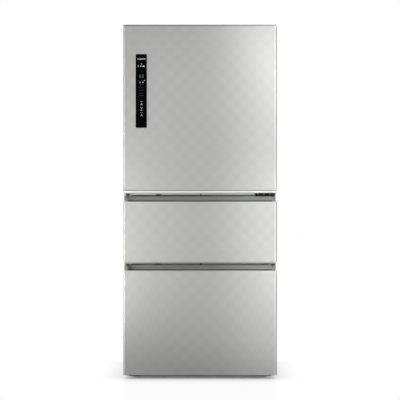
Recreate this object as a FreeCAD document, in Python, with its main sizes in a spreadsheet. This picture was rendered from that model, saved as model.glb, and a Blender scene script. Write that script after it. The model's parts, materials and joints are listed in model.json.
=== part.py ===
"""Three-door refrigerator: a swinging upper door over two pull-out drawers.

Millimetres, +Z up, the doors face -Y. The origin is on the floor, under the middle of the
whole body, so the door fronts and the back lie equally far from it.
"""
import FreeCAD, Part
import operator
import os
from types import SimpleNamespace

import Sketcher
from FreeCAD import Placement, Rotation, Vector

SIZES = {
    # cabinet shell
    "cabinet_width": 800,
    "cabinet_height": 1832,
    "cabinet_depth": 664,
    "sheet_thickness": 1,
    "front_flange_width": 40,
    "pan_thickness": 1.5,
    "pan_lip_height": 16,
    "machine_depth": 220,
    "machine_height": 230,
    "back_rib_depth": 3,
    "back_rib_width": 26,
    "back_rib_end_gap": 60,
    "cover_thickness": 2,
    "cover_slot_width": 170,
    "cover_slot_height": 7,
    "cover_slot_pitch": 18,
    "cover_slot_offset": 220,
    "gland_radius": 12,
    "gland_bore": 5,
    "gland_height": 3,
    "gland_side_inset": 50,
    "gland_level": 40,
    "kick_inset": 24,
    "kick_setback": 4,
    "kick_thickness": 3,
    "kick_floor_gap": 6,
    # insulation and liners
    "side_insulation": 46,
    "top_insulation": 48,
    "back_insulation": 52,
    "floor_insulation": 50,
    "liner_wall": 2.5,
    # front panels, from the floor up
    "door_clearance": 20,
    "lower_skin_height": 545,
    "grip_rise": 27,
    "drawer_gap": 8.5,
    "cap_height": 10,
    "middle_skin_height": 314,
    "upper_gap": 8.5,
    "pull_height": 8,
    "trim_height": 17,
    "top_cap_height": 7,
    "door_rise": 14,
    # door build
    "door_thickness": 68,
    "skin_thickness": 0.8,
    "skin_corner_radius": 10,
    "door_liner_wall": 3,
    "gasket_thickness": 8,
    "gasket_width": 18,
    "gasket_margin": 4,
    "gasket_edge": 5,
    "seam_height": 3,
    "seam_depth": 2,
    "cap_floor": 2,
    "cap_lip": 6,
    "pull_setback": 14,
    "pull_back_gap": 6,
    "pull_end_inset": 34,
    "pull_hinge_gap": 7,
    # drawer grips
    "grip_depth": 34,
    "grip_inset": 6,
    "groove_lip": 12,
    "groove_width": 32,
    "groove_depth": 22,
    "groove_end": 22,
    "groove_radius": 9,
    "grip_end_radius": 24,
    "cap_setback": 8,
    # door and drawer inner panels
    "dike_side_gap": 26,
    "dike_end_gap": 16,
    "dike_width": 24,
    "dike_depth": 92,
    "dike_radius": 6,
    "plateau_depth": 12,
    "plateau_side_gap": 4.5,
    "plateau_end_gap": 20,
    # door bins
    "bin_depth": 115,
    "bin_wall": 2.5,
    "bin_radius": 12,
    "bin_gap": 17,
    "bottom_bin_level": 3.5,
    "bottom_bin_height": 110,
    "middle_bin_height": 90,
    "top_bin_drop": 186,
    "top_bin_height": 80,
    # control panel
    "panel_side_inset": 65,
    "panel_top_inset": 146,
    "panel_width": 58.4,
    "panel_height": 384,
    "panel_glass": 3,
    "panel_corner_radius": 2.5,
    "panel_gap": 0.25,
    "board_depth": 9,
    "board_margin": 8,
    # upper door hinges
    "hinge_inset": 18,
    "hinge_setback": 29,
    "pin_radius": 5,
    "pin_clearance": 0.08,
    "pin_length": 24,
    "bush_radius": 9,
    "bush_end_gap": 4,
    "hinge_plate": 4,
    "hinge_arm_width": 24,
    "hinge_arm_gap": 0.5,
    "hinge_pocket_gap": 1.5,
    "hinge_base_setback": 6,
    "hinge_base_depth": 78,
    "hinge_base_reach": 46,
    "hinge_base_side_gap": 8,
    "hinge_screw_side_inset": 13,
    "hinge_screw_end_inset": 15.6,
    "hinge_cover_rise": 6,
    "hinge_cover_gap": 1,
    "hinge_cover_side_gap": 2,
    "hinge_cover_wall": 2,
    "hinge_cover_margin": 8,
    "hinge_cover_radius": 5,
    "bracket_reach": 91,
    "bracket_end": 8,
    "bracket_front": 15,
    "bracket_plate": 6,
    "bracket_flange": 3,
    "bracket_radius": 7,
    "bracket_clearance": 2.5,
    "thrust_gap": 0.3,
    "flange_clearance": 1,
    # screws
    "screw_head_radius": 3.6,
    "screw_head_height": 2.4,
    "screw_shank_radius": 2,
    "screw_shank_length": 14,
    "screw_fit": 0.1,
    "cover_screw_length": 3.4,
    "cover_screw_inset": 40,
    # fridge compartment
    "shelf_thickness": 4,
    "shelf_side_gap": 1.5,
    "shelf_duct_gap": 3,
    "bottom_shelf_level": 230,
    "top_shelf_drop": 159,
    "rib_width": 10,
    "rib_height": 6,
    "rib_setback": 16,
    "shelf_trim_front": 10,
    "shelf_trim_grip": 9,
    "shelf_trim_below": 5,
    "shelf_trim_above": 7,
    "shelf_trim_side_gap": 3,
    "duct_half_width": 150,
    "duct_depth": 24,
    "duct_end_gap": 60,
    "duct_radius": 8,
    "vent_width": 70,
    "vent_height": 9,
    "vent_depth": 10,
    "vent_offset": 80,
    "light_width": 380,
    "light_depth": 80,
    "light_height": 8,
    "light_setback": 150,
    "light_radius": 6,
    # freezer cold side
    "duct_cover_thickness": 4,
    "fan_drop": 92,
    "fan_radius": 58,
    "fan_tip_gap": 6,
    "fan_hub_radius": 18,
    "fan_depth": 20,
    "fan_setback": 3,
    "blade_skew": 9,
    "blade_thickness": 3,
    "shaft_radius": 3,
    "shaft_clearance": 0.06,
    "motor_radius": 26,
    "motor_depth": 24,
    "motor_gap": 5,
    "motor_arm_width": 20,
    "motor_arm_thickness": 4,
    "grille_width": 130,
    "grille_height": 8,
    "grille_pitch": 20,
    "grille_offset": 220,
    "evaporator_width": 500,
    "evaporator_depth": 60,
    "evaporator_height": 110,
    "evaporator_setback": 90,
    "tube_radius": 4,
    "tube_overhang": 18,
    # machine compartment
    "compressor_radius": 74,
    "compressor_height": 158,
    "compressor_round": 34,
    "compressor_side_gap": 209,
    "mount_plate": 3,
    "mount_reach": 92,
    "grommet_radius": 11,
    "grommet_height": 14,
    "drain_pan_width": 330,
    "drain_pan_depth": 150,
    "drain_pan_height": 42,
    "drain_pan_wall": 2,
    "drain_pan_radius": 10,
    "drain_pan_side_gap": 30,
    # rollers and feet
    "roller_radius": 14,
    "roller_top_gap": 2,
    "roller_width": 24,
    "roller_side_inset": 80,
    "roller_back_inset": 60,
    "axle_radius": 4,
    "axle_clearance": 0.08,
    "ear_thickness": 2.5,
    "ear_gap": 1,
    "ear_width": 26,
    "ear_floor_gap": 5,
    "foot_radius": 20,
    "foot_height": 6,
    "foot_cone_height": 7,
    "foot_neck_radius": 9,
    "foot_side_inset": 60,
    "foot_front_inset": 50,
    "stud_radius": 5,
    "stud_clearance": 0.08,
    "stud_rise": 18,
    "stud_pocket_gap": 3,
    "boss_radius": 10,
    "foot_thread_gap": 5,
    # drawer slides and baskets
    "slide_height": 40,
    "slide_depth": 12,
    "slide_wall": 2,
    "slide_gap": 0.6,
    "slide_set_in": 4,
    "slide_bar_proud": 3,
    "ledge_width": 18,
    "ledge_thickness": 3,
    "middle_slide_back_gap": 164,
    "middle_slide_drop": 80,
    "lower_slide_back_gap": 18,
    "lower_slide_drop": 170,
    "basket_front_gap": 4,
    "basket_wall": 2.5,
    "basket_radius": 16,
    "basket_floor_gap": 12,
    "basket_clearance": 1.5,
    "rim_thickness": 4,
    "rim_end": 10,
    "middle_basket_back_gap": 164,
    "lower_basket_back_gap": 36,
    "tray_depth": 180,
    "tray_height": 88,
    "tray_wall": 2.2,
    "tray_radius": 10,
    "tray_inset": 2,
    "tray_gap": 0.3,
}

SIDES = {"left": -1, "right": 1}
BLADES = 5
BACK_RIBS = 6
COVER_SLOTS = 8
BRACKET_SCREWS = 3
GRILLE_SLOTS = 4
DUCT_VENTS = 4
EVAPORATOR_TUBES = 4
# How far a cutting tool runs past the face that it opens
PAST = 2
# Two edges lie at one level, or run one way, within this
NEAR_ENOUGH = 0.01
# The largest share of a wall that a rounding may take
ROUND_SHARE = 0.9

OPERATIONS = {"+": operator.add, "-": operator.sub, "*": operator.mul, "/": operator.truediv}
AXES = {
    "x": Vector(1, 0, 0),
    "y": Vector(0, 1, 0),
    "z": Vector(0, 0, 1),
    "-y": Vector(0, -1, 0),
    "-z": Vector(0, 0, -1),
}


class Size:
    """A length that keeps its number together with the sheet expression it comes from."""

    def __init__(self, text, value):
        self.text = text
        self.value = float(value)

    def __add__(self, other):
        return combine(self, "+", other)

    def __radd__(self, other):
        return combine(other, "+", self)

    def __sub__(self, other):
        return combine(self, "-", other)

    def __rsub__(self, other):
        return combine(other, "-", self)

    def __mul__(self, other):
        return combine(self, "*", other)

    def __rmul__(self, other):
        return combine(other, "*", self)

    def __truediv__(self, other):
        return combine(self, "/", other)

    def __neg__(self):
        return combine(0, "-", self)


def as_size(item):
    return item if isinstance(item, Size) else Size(repr(float(item)), item)


def combine(first, sign, second):
    first = as_size(first)
    second = as_size(second)
    value = OPERATIONS[sign](first.value, second.value)
    return Size(f"({first.text} {sign} {second.text})", value)


def smaller(first, second):
    """The smaller of two lengths, for a rounding that its wall limits."""
    return Size(f"min({first.text}; {second.text})", min(first.value, second.value))


doc = FreeCAD.newDocument("refrigerator")
sheet = doc.addObject("Spreadsheet::Sheet", "dims")
for row, (alias, number) in enumerate(SIZES.items(), start=1):
    sheet.set(f"A{row}", alias)
    sheet.set(f"B{row}", str(number))
    sheet.setAlias(f"B{row}", alias)
doc.recompute()

size = SimpleNamespace(**{alias: Size(f"dims.{alias}", number) for alias, number in SIZES.items()})
pieces = []
middle_plane = Size("0", 0)

# Depth, from the door fronts back
front = -(size.cabinet_depth + size.gasket_thickness + size.door_thickness) / 2
door_back = front + size.door_thickness
door_core_back = door_back - size.door_liner_wall
cabinet_front = door_back + size.gasket_thickness
cabinet_back = cabinet_front + size.cabinet_depth
rear_sheet = cabinet_back - size.back_rib_depth
liner_back = cabinet_back - size.back_insulation
machine_front = cabinet_back - size.machine_depth
step_back = machine_front - size.floor_insulation

# Width, from the middle out
half_width = size.cabinet_width / 2
shell_inside = half_width - size.sheet_thickness
mouth_half = half_width - size.front_flange_width
liner_half = half_width - size.side_insulation
wall_half = liner_half - size.liner_wall
skin_inside = half_width - size.skin_thickness
grip_half = half_width - size.grip_inset

# Height, from the floor up
lower_skin_bottom = size.door_clearance
lower_skin_top = lower_skin_bottom + size.lower_skin_height
lower_front_top = lower_skin_top + size.grip_rise
middle_cap_bottom = lower_front_top + size.drawer_gap
middle_skin_bottom = middle_cap_bottom + size.cap_height
middle_skin_top = middle_skin_bottom + size.middle_skin_height
middle_front_top = middle_skin_top + size.grip_rise
pull_bottom = middle_front_top + size.upper_gap
trim_bottom = pull_bottom + size.pull_height
upper_skin_bottom = trim_bottom + size.trim_height
cabinet_top = size.cabinet_height
door_top = cabinet_top + size.door_rise
upper_skin_top = door_top - size.top_cap_height

leg_height = 2 * size.roller_radius + size.roller_top_gap
boss_height = leg_height - size.foot_height - size.foot_cone_height - size.foot_thread_gap
pan_top = leg_height + size.pan_thickness
machine_top = leg_height + size.machine_height
step_top = machine_top + size.floor_insulation

# The mouths of the compartments, set back from the panels' edges by the gaskets
gasket_reach = size.gasket_margin + size.gasket_width
mouth_setback = size.gasket_edge + gasket_reach
freezer_floor = pan_top + size.floor_insulation
freezer_top = lower_front_top - mouth_setback
middle_floor = middle_cap_bottom + mouth_setback
middle_top = middle_front_top - mouth_setback
fridge_floor = trim_bottom + mouth_setback
fridge_top = cabinet_top - size.top_insulation

# The upper door's axis, and the levels of its two hinges
hinge_x = half_width - size.hinge_inset
hinge_y = front + size.hinge_setback
bush_top = upper_skin_top + size.cap_floor
bush_length = size.pin_length + size.bush_end_gap
arm_bottom = bush_top + size.hinge_arm_gap
arm_top = arm_bottom + size.hinge_plate
bracket_bottom = middle_front_top + size.bracket_clearance
bracket_top = bracket_bottom + size.bracket_plate

# The step in the drawers' inner panels, where the slides are fastened
plateau_face = door_back + size.plateau_depth
slide_front = plateau_face + size.slide_set_in
middle_slide_level = middle_top - size.middle_slide_drop
middle_slide_back = liner_back - size.middle_slide_back_gap
lower_slide_level = freezer_top - size.lower_slide_drop
lower_slide_back = step_back - size.lower_slide_back_gap

# The slides nest: a fixed channel on the wall, a smaller channel in it, and a bar in that
slide_half = size.slide_height / 2
channel_start = size.slide_wall + size.slide_gap
channel_half = slide_half - channel_start
channel_end = size.slide_depth - size.slide_gap
bar_start = 2 * channel_start
bar_half = channel_half - channel_start
bar_end = size.slide_depth + size.slide_bar_proud
rim_half = wall_half - bar_end - size.basket_clearance
basket_half = rim_half - size.ledge_width
basket_front = plateau_face + size.basket_front_gap

shelf_front = door_back + size.bin_depth + size.bin_gap + size.shelf_trim_front
duct_front = liner_back - size.liner_wall - size.duct_depth
shelf_back = duct_front - size.shelf_duct_gap


def bind(item, path, length):
    """Ties one property of an item to the sheet."""
    item.setExpression(path, as_size(length).text)


def across(half):
    return (-half, half)


def about(middle, width):
    return (middle - width / 2, middle + width / 2)


def inset(span, wall):
    return (span[0] + wall, span[1] - wall)


def through(span):
    """A span that a cutting tool takes to come out at both ends."""
    return inset(span, -PAST)


def beside(side, near, far):
    """The X span between two distances from the middle, on one side."""
    return (near, far) if side > 0 else (-far, -near)


def off_wall(side, near, far):
    """The X span between two distances from a compartment's side wall."""
    return beside(side, wall_half - far, wall_half - near)


def block(name, x, y, z):
    """A plain box from three spans."""
    box = doc.addObject("Part::Box", name)
    for axis, side, span in zip("xyz", ("Length", "Width", "Height"), (x, y, z)):
        bind(box, side, span[1] - span[0])
        bind(box, f"Placement.Base.{axis}", span[0])
    return box


def place(item, start, rotation):
    item.Placement = Placement(Vector(0, 0, 0), rotation)
    for axis, length in zip("xyz", start):
        bind(item, f"Placement.Base.{axis}", length)


def rod(name, start, axis, radius, length):
    """A cylinder that runs from a start point along an axis."""
    cylinder = doc.addObject("Part::Cylinder", name)
    bind(cylinder, "Radius", radius)
    bind(cylinder, "Height", length)
    place(cylinder, start, Rotation(AXES["z"], AXES[axis]))
    return cylinder


def cut(name, base, *tools):
    result = doc.addObject("Part::Cut", name)
    result.Base = base
    result.Tool = tools[0] if len(tools) == 1 else fuse(f"{name}_tools", *tools)
    return result


def fuse(name, *items):
    result = doc.addObject("Part::MultiFuse", name)
    result.Shapes = list(items)
    return result


def group(name, *items):
    """Separate solids of one kind that share a node."""
    result = doc.addObject("Part::Compound", name)
    result.Links = list(items)
    return result


def piece(item):
    """Counts an item as a finished sub-part, named by its label."""
    pieces.append(item)
    return item


def new_sketch(body, name, level):
    """A sketch on the body's own ground plane, raised to a level."""
    doc.recompute()
    ground = next(plane for plane in body.Origin.OriginFeatures if plane.Role == "XY_Plane")
    sketch = body.newObject("Sketcher::SketchObject", name)
    sketch.AttachmentSupport = (ground, [""])
    sketch.MapMode = "FlatFace"
    bind(sketch, "AttachmentOffset.Base.z", level)
    return sketch


def hold(sketch, kind, *where, length):
    """Adds a sketch dimension and ties it to the sheet."""
    index = sketch.addConstraint(Sketcher.Constraint(kind, *where, length.value))
    bind(sketch, f"Constraints[{index}]", length)


def pad_sketch(body, sketch, height):
    pad = body.newObject("PartDesign::Pad", f"{body.Name}_pad")
    pad.Profile = sketch
    bind(pad, "Length", height)
    doc.recompute()
    return pad


def round_edges(body, feature, radius, pick):
    names = [f"Edge{n}" for n, edge in enumerate(feature.Shape.Edges, start=1) if pick(edge)]
    fillet = body.newObject("PartDesign::Fillet", f"{body.Name}_rounds")
    fillet.Base = (feature, names)
    bind(fillet, "Radius", radius)
    doc.recompute()
    return fillet


def rounded_block(name, x, y, z, radius, pick):
    """A box whose picked edges are rounded."""
    body = doc.addObject("PartDesign::Body", name)
    sketch = new_sketch(body, f"{name}_outline", z[0])
    corners = [(x[0], y[0]), (x[1], y[0]), (x[1], y[1]), (x[0], y[1])]
    points = [Vector(width.value, depth.value, 0) for width, depth in corners]
    for n, point in enumerate(points):
        sketch.addGeometry(Part.LineSegment(point, points[(n + 1) % len(points)]), False)
    for n, corner in enumerate(corners):
        sketch.addConstraint(Sketcher.Constraint("Coincident", n, 2, (n + 1) % len(corners), 1))
        hold(sketch, "DistanceX", -1, 1, n, 1, length=corner[0])
        hold(sketch, "DistanceY", -1, 1, n, 1, length=corner[1])
    pad = pad_sketch(body, sketch, z[1] - z[0])
    round_edges(body, pad, radius, pick)
    return body


def runs_along(edge, axis):
    direction = edge.tangentAt(edge.FirstParameter)
    return direction.cross(AXES[axis]).Length < NEAR_ENOUGH


def at_level(edge, axis, length):
    return abs(edge.CenterOfMass.dot(AXES[axis]) - length.value) < NEAR_ENOUGH


def below(edge, axis, length):
    return edge.CenterOfMass.dot(AXES[axis]) < length.value - NEAR_ENOUGH


def uprights(edge):
    return runs_along(edge, "z")


def front_uprights(edge):
    """The two upright edges at a panel's front, whatever the panel's height."""
    return uprights(edge) and below(edge, "y", door_core_back)


def open_box(name, x, y, z, wall, radius):
    """A moulded box, open at the top, with round corners and floor edges."""
    hollow_z = (z[0] + wall, z[1] + PAST)
    outside = rounded_block(f"{name}_outside", x, y, z, radius, lambda edge: below(edge, "z", z[1]))
    hollow = rounded_block(f"{name}_hollow", inset(x, wall), inset(y, wall), hollow_z, radius - wall,
                           lambda edge: below(edge, "z", hollow_z[1]))
    return cut(name, outside, hollow)


def frame(name, outside_x, outside_z, width, y):
    """A rectangular ring, standing upright."""
    outside = block(f"{name}_outside", outside_x, y, outside_z)
    inside = block(f"{name}_inside", inset(outside_x, width), through(y), inset(outside_z, width))
    return cut(name, outside, inside)


# Places where screws go: the start under the head, and the way that the shank points
def top_hinge_screw_points():
    inner_x = hinge_x - size.hinge_base_reach + size.hinge_screw_side_inset
    y = inset(hinge_base_y(), size.hinge_screw_end_inset)
    level = cabinet_top + size.hinge_plate
    return [(inner_x, y[0], level), (inner_x, y[1], level), (hinge_x, y[1], level)]


def bracket_screw_points():
    level = (bracket_top + bracket_flange_z()[1]) / 2
    face = cabinet_front - size.bracket_flange
    start = hinge_x - size.bracket_reach
    pitch = size.bracket_reach / BRACKET_SCREWS
    return [(start + pitch * (n + 0.5), face, level) for n in range(BRACKET_SCREWS)]


def cover_screw_points():
    side = shell_inside - size.cover_screw_inset
    face = rear_sheet
    levels = (leg_height + size.pan_lip_height / 2, machine_top - size.pan_lip_height / 2)
    return [(x, face, level) for x in (-side, middle_plane, side) for level in levels]


def hinge_base_y():
    start = cabinet_front + size.hinge_base_setback
    return (start, start + size.hinge_base_depth)


def screw_holes(name, points, axis, length):
    radius = size.screw_shank_radius + size.screw_fit
    holes = [rod(f"{name}_hole", point, axis, radius, length + size.screw_fit) for point in points]
    return fuse(f"{name}_holes", *holes)


def pan_holes(name):
    """The studs' ways through the pan and into the insulation."""
    return [rod(f"{name}_{word}", foot_point(side, leg_height - boss_height - PAST), "z",
                size.stud_radius + size.stud_clearance, boss_height + size.pan_thickness + 2 * PAST)
            for word, side in SIDES.items()]


def foot_point(side, level):
    return (side * (half_width - size.foot_side_inset), cabinet_front + size.foot_front_inset, level)


def roller_middle(side):
    return side * (half_width - size.roller_side_inset)


# Cabinet
def make_cabinet_shell():
    z = (leg_height, cabinet_top)
    blank = block("shell_blank", across(half_width), (cabinet_front, cabinet_back), z)
    inside = block("shell_inside", across(shell_inside),
                   (cabinet_front + size.sheet_thickness, cabinet_back + PAST),
                   (leg_height - PAST, cabinet_top - size.sheet_thickness))
    mouth = block("shell_mouth", across(mouth_half), (cabinet_front - PAST, cabinet_front + PAST),
                  (leg_height - PAST, cabinet_top - size.front_flange_width))
    holes = [screw_holes("shell_hinge", top_hinge_screw_points(), "-z", size.screw_shank_length),
             screw_holes("shell_bracket", bracket_screw_points(), "y", size.screw_shank_length)]
    piece(cut("cabinet_shell", blank, inside, mouth, *holes))


def make_back_panel():
    z = (machine_top, cabinet_top - size.sheet_thickness)
    plate = block("back_plate", across(shell_inside), (rear_sheet - size.sheet_thickness, rear_sheet), z)
    pitch = (z[1] - z[0]) / (BACK_RIBS + 1)
    rib_half = shell_inside - size.back_rib_end_gap
    ribs = [block("back_rib", across(rib_half), (rear_sheet, cabinet_back),
                  about(z[0] + pitch * n, size.back_rib_width))
            for n in range(1, BACK_RIBS + 1)]
    piece(fuse("back_panel", plate, *ribs))


def make_base_pan():
    x = across(shell_inside)
    back = rear_sheet - size.cover_thickness
    floor = block("pan_floor", x, (cabinet_front + size.sheet_thickness, back), (leg_height, pan_top))
    riser = block("pan_riser", x, (machine_front, machine_front + size.pan_thickness),
                  (leg_height, machine_top))
    roof = block("pan_roof", x, (machine_front, back), (machine_top - size.pan_thickness, machine_top))
    lip_y = (back - size.pan_thickness, back)
    lips = [block("pan_lip_low", x, lip_y, (leg_height, leg_height + size.pan_lip_height)),
            block("pan_lip_high", x, lip_y, (machine_top - size.pan_lip_height, machine_top))]
    bosses = [rod("pan_boss", foot_point(side, leg_height - boss_height), "z",
                  size.boss_radius, boss_height)
              for side in SIDES.values()]
    body = fuse("pan_sheet", floor, riser, roof, *lips, *bosses, *roller_ears())
    holes = screw_holes("pan_cover", cover_screw_points(), "-y", size.cover_screw_length + PAST)
    piece(cut("base_pan", body, holes, axle_holes(), *pan_holes("pan_stud")))


def roller_ears():
    ears = []
    y = about(cabinet_back - size.roller_back_inset, size.ear_width)
    z = (size.ear_floor_gap, pan_top)
    for side in SIDES.values():
        for end in SIDES.values():
            near = size.roller_width / 2 + size.ear_gap
            span = beside(end, near, near + size.ear_thickness)
            x = (roller_middle(side) + span[0], roller_middle(side) + span[1])
            ears.append(block("roller_ear", x, y, z))
    return ears


def axle_holes():
    y = cabinet_back - size.roller_back_inset
    reach = size.roller_width / 2 + size.ear_gap + size.ear_thickness + PAST
    radius = size.axle_radius + size.axle_clearance
    return fuse("axle_holes", *[
        rod("axle_hole", (roller_middle(side) - reach, y, size.roller_radius), "x", radius, 2 * reach)
        for side in SIDES.values()])


def make_cabinet_foam():
    blank = block("foam_blank", across(shell_inside),
                  (cabinet_front + size.sheet_thickness, rear_sheet - size.sheet_thickness),
                  (pan_top, cabinet_top - size.sheet_thickness))
    machine = block("foam_machine", across(half_width), (machine_front, cabinet_back),
                    (leg_height, machine_top))
    studs = [rod("foam_stud", foot_point(side, pan_top - PAST), "z",
                 size.stud_radius + size.stud_pocket_gap, size.stud_rise + size.stud_pocket_gap + PAST)
             for side in SIDES.values()]
    holes = [screw_holes("foam_hinge", top_hinge_screw_points(), "-z", size.screw_shank_length),
             screw_holes("foam_bracket", bracket_screw_points(), "y", size.screw_shank_length)]
    piece(cut("cabinet_foam", blank, machine, *liner_outsides("foam"), *studs, *holes))


def liner_outsides(name):
    """The spaces that the three liners and their front flanges take in the insulation."""
    return [*fridge_outside(name), *middle_outside(name), *freezer_outside(name)]


def fridge_outside(name):
    flange_y = (cabinet_front, cabinet_front + size.liner_wall)
    flange_z = (fridge_floor, cabinet_top - size.front_flange_width)
    room_y = (cabinet_front, liner_back)
    return [block(f"{name}_fridge", across(liner_half), room_y, (fridge_floor, fridge_top)),
            block(f"{name}_fridge_flange", across(mouth_half), flange_y, flange_z)]


def middle_outside(name):
    z = (middle_floor, middle_top)
    flange_y = (cabinet_front, cabinet_front + size.liner_wall)
    return [block(f"{name}_middle", across(liner_half), (cabinet_front, liner_back), z),
            block(f"{name}_middle_flange", across(mouth_half), flange_y, z)]


def freezer_outside(name):
    flange_y = (cabinet_front, cabinet_front + size.liner_wall)
    z = (freezer_floor, freezer_top)
    return [block(f"{name}_low", across(liner_half), (cabinet_front, step_back), z),
            block(f"{name}_high", across(liner_half), (cabinet_front, liner_back), (step_top, z[1])),
            block(f"{name}_flange", across(mouth_half), flange_y, z)]


def liner_hollow(name, back, bottom, top):
    """The room inside a liner, open at the front."""
    return block(name, across(wall_half), (cabinet_front - PAST, back - size.liner_wall),
                 (bottom + size.liner_wall, top - size.liner_wall))


def shelf_levels():
    """The bottom and top shelves, and one midway between them."""
    bottom = fridge_floor + size.bottom_shelf_level
    top = fridge_top - size.top_shelf_drop
    return [bottom, (bottom + top) / 2, top]


def make_fridge_liner():
    shell = cut("fridge_liner_shell", fuse("fridge_liner_blank", *fridge_outside("liner")),
                liner_hollow("fridge_hollow", liner_back, fridge_floor, fridge_top))
    y = (shelf_front + size.rib_setback, liner_back - size.liner_wall)
    ribs = [block("shelf_rib", off_wall(side, middle_plane, size.rib_width), y,
                  (level - size.rib_height, level))
            for side in SIDES.values() for level in shelf_levels()]
    piece(fuse("fridge_liner", shell, *ribs))


def make_middle_liner():
    piece(cut("middle_liner", fuse("middle_liner_blank", *middle_outside("liner")),
              liner_hollow("middle_hollow", liner_back, middle_floor, middle_top)))


def make_freezer_liner():
    piece(cut("freezer_liner", fuse("freezer_liner_blank", *freezer_outside("freezer")),
              liner_hollow("freezer_low_hollow", step_back, freezer_floor, freezer_top),
              liner_hollow("freezer_high_hollow", liner_back, step_top, freezer_top)))


def make_cross_rails():
    y = (cabinet_front, cabinet_front + size.sheet_thickness)
    x = across(mouth_half)
    upper = cut("upper_cross_rail", block("upper_rail_blank", x, y, (middle_top, fridge_floor)),
                screw_holes("rail_bracket", bracket_screw_points(), "y", size.screw_shank_length))
    lower = block("lower_cross_rail", x, y, (freezer_top, middle_floor))
    bottom = block("bottom_cross_rail", x, y, (pan_top, freezer_floor))
    piece(group("cross_rails", upper, lower, bottom))


def make_kick_plate():
    y = cabinet_front + size.kick_setback
    piece(block("kick_plate", across(half_width - size.kick_inset), (y, y + size.kick_thickness),
                (size.kick_floor_gap, leg_height)))


def make_machine_cover():
    y = (rear_sheet - size.cover_thickness, rear_sheet)
    plate = block("cover_plate", across(shell_inside), y, (leg_height, machine_top))
    middle = (leg_height + machine_top) / 2
    first = middle - size.cover_slot_pitch * (COVER_SLOTS - 1) / 2
    slots = [block("cover_slot", about(side * size.cover_slot_offset, size.cover_slot_width), through(y),
                   about(first + size.cover_slot_pitch * n, size.cover_slot_height))
             for side in SIDES.values() for n in range(COVER_SLOTS)]
    holes = screw_holes("cover", cover_screw_points(), "-y", size.cover_screw_length + PAST)
    gland_x = -shell_inside + size.gland_side_inset
    gland_z = leg_height + size.gland_level
    gland_length = size.cover_thickness + size.gland_height
    gland = rod("cover_gland", (gland_x, y[0], gland_z), "y", size.gland_radius, gland_length)
    bore = rod("gland_bore", (gland_x, y[0] - PAST, gland_z), "y", size.gland_bore, gland_length + 2 * PAST)
    piece(cut("machine_cover", fuse("cover_body", plate, gland), holes, bore, *slots))


# Upper door hinges
def make_top_hinge():
    y = hinge_base_y()
    base_x = (hinge_x - size.hinge_base_reach, half_width - size.hinge_base_side_gap)
    base = block("hinge_base", base_x, y, (cabinet_top, cabinet_top + size.hinge_plate))
    arm_x = about(hinge_x, size.hinge_arm_width)
    riser = block("hinge_riser", arm_x, (y[0], y[0] + size.hinge_plate), (cabinet_top, arm_top))
    arm = block("hinge_arm", arm_x, (hinge_y, y[0] + size.hinge_plate), (arm_bottom, arm_top))
    nose = rod("hinge_nose", (hinge_x, hinge_y, arm_bottom), "z", size.hinge_arm_width / 2, size.hinge_plate)
    pin = rod("hinge_pin", (hinge_x, hinge_y, arm_top), "-z", size.pin_radius, size.pin_length)
    body = fuse("top_hinge_body", base, riser, arm, nose, pin)
    piece(cut("top_hinge", body,
              screw_holes("hinge_base", top_hinge_screw_points(), "-z", size.screw_shank_length)))


def make_top_hinge_cover():
    base_y = hinge_base_y()
    margin = size.hinge_cover_margin
    wall = size.hinge_cover_wall
    x = (hinge_x - size.hinge_base_reach - margin, half_width - size.hinge_cover_side_gap)
    y = (base_y[0] - size.hinge_cover_gap - wall, base_y[1] + margin)
    z = (cabinet_top, door_top + size.hinge_cover_rise)
    outside = rounded_block("hinge_cover_outside", x, y, z, size.hinge_cover_radius,
                            lambda edge: not at_level(edge, "z", cabinet_top))
    hollow = block("hinge_cover_hollow", inset(x, wall), inset(y, wall), (z[0] - PAST, z[1] - wall))
    arm_way = block("hinge_cover_way", about(hinge_x, size.hinge_arm_width + 2 * size.hinge_arm_gap),
                    (y[0] - PAST, y[0] + wall + PAST), (z[0] - PAST, arm_top + size.hinge_arm_gap))
    piece(cut("top_hinge_cover", outside, hollow, arm_way))


def bracket_flange_z():
    """The bracket's back flange stands between the two gaskets."""
    return (gasket_z(middle_floor, middle_top)[1] + size.flange_clearance,
            gasket_z(fridge_floor, fridge_top)[0] - size.flange_clearance)


def make_middle_hinge():
    x = (hinge_x - size.bracket_reach, hinge_x + size.bracket_end)
    plate = rounded_block("bracket_plate", x, (hinge_y - size.bracket_front, cabinet_front),
                          (bracket_bottom, bracket_top), size.bracket_radius,
                          lambda edge: uprights(edge) and below(edge, "y", hinge_y))
    flange_y = (cabinet_front - size.bracket_flange, cabinet_front)
    flange = block("bracket_flange", x, flange_y, bracket_flange_z())
    thrust = rod("bracket_thrust", (hinge_x, hinge_y, bracket_bottom), "z", size.bush_radius,
                 trim_bottom - size.thrust_gap - bracket_bottom)
    pin = rod("bracket_pin", (hinge_x, hinge_y, bracket_bottom), "z", size.pin_radius,
              trim_bottom - bracket_bottom + size.pin_length)
    body = fuse("middle_hinge_body", plate, flange, thrust, pin)
    piece(cut("middle_hinge", body,
              screw_holes("bracket", bracket_screw_points(), "y", size.screw_shank_length)))


def screws(points, axis, back_axis, length):
    """Screws whose heads sit on a face, with the shanks along an axis."""
    made = []
    for point in points:
        head = rod("screw_head", point, back_axis, size.screw_head_radius, size.screw_head_height)
        shank = rod("screw_shank", point, axis, size.screw_shank_radius, length)
        made.append(fuse("screw", head, shank))
    return made


def make_screws():
    piece(group("cabinet_screws",
                *screws(top_hinge_screw_points(), "-z", "z", size.screw_shank_length),
                *screws(bracket_screw_points(), "y", "-y", size.screw_shank_length),
                *screws(cover_screw_points(), "-y", "y", size.cover_screw_length)))


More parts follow.
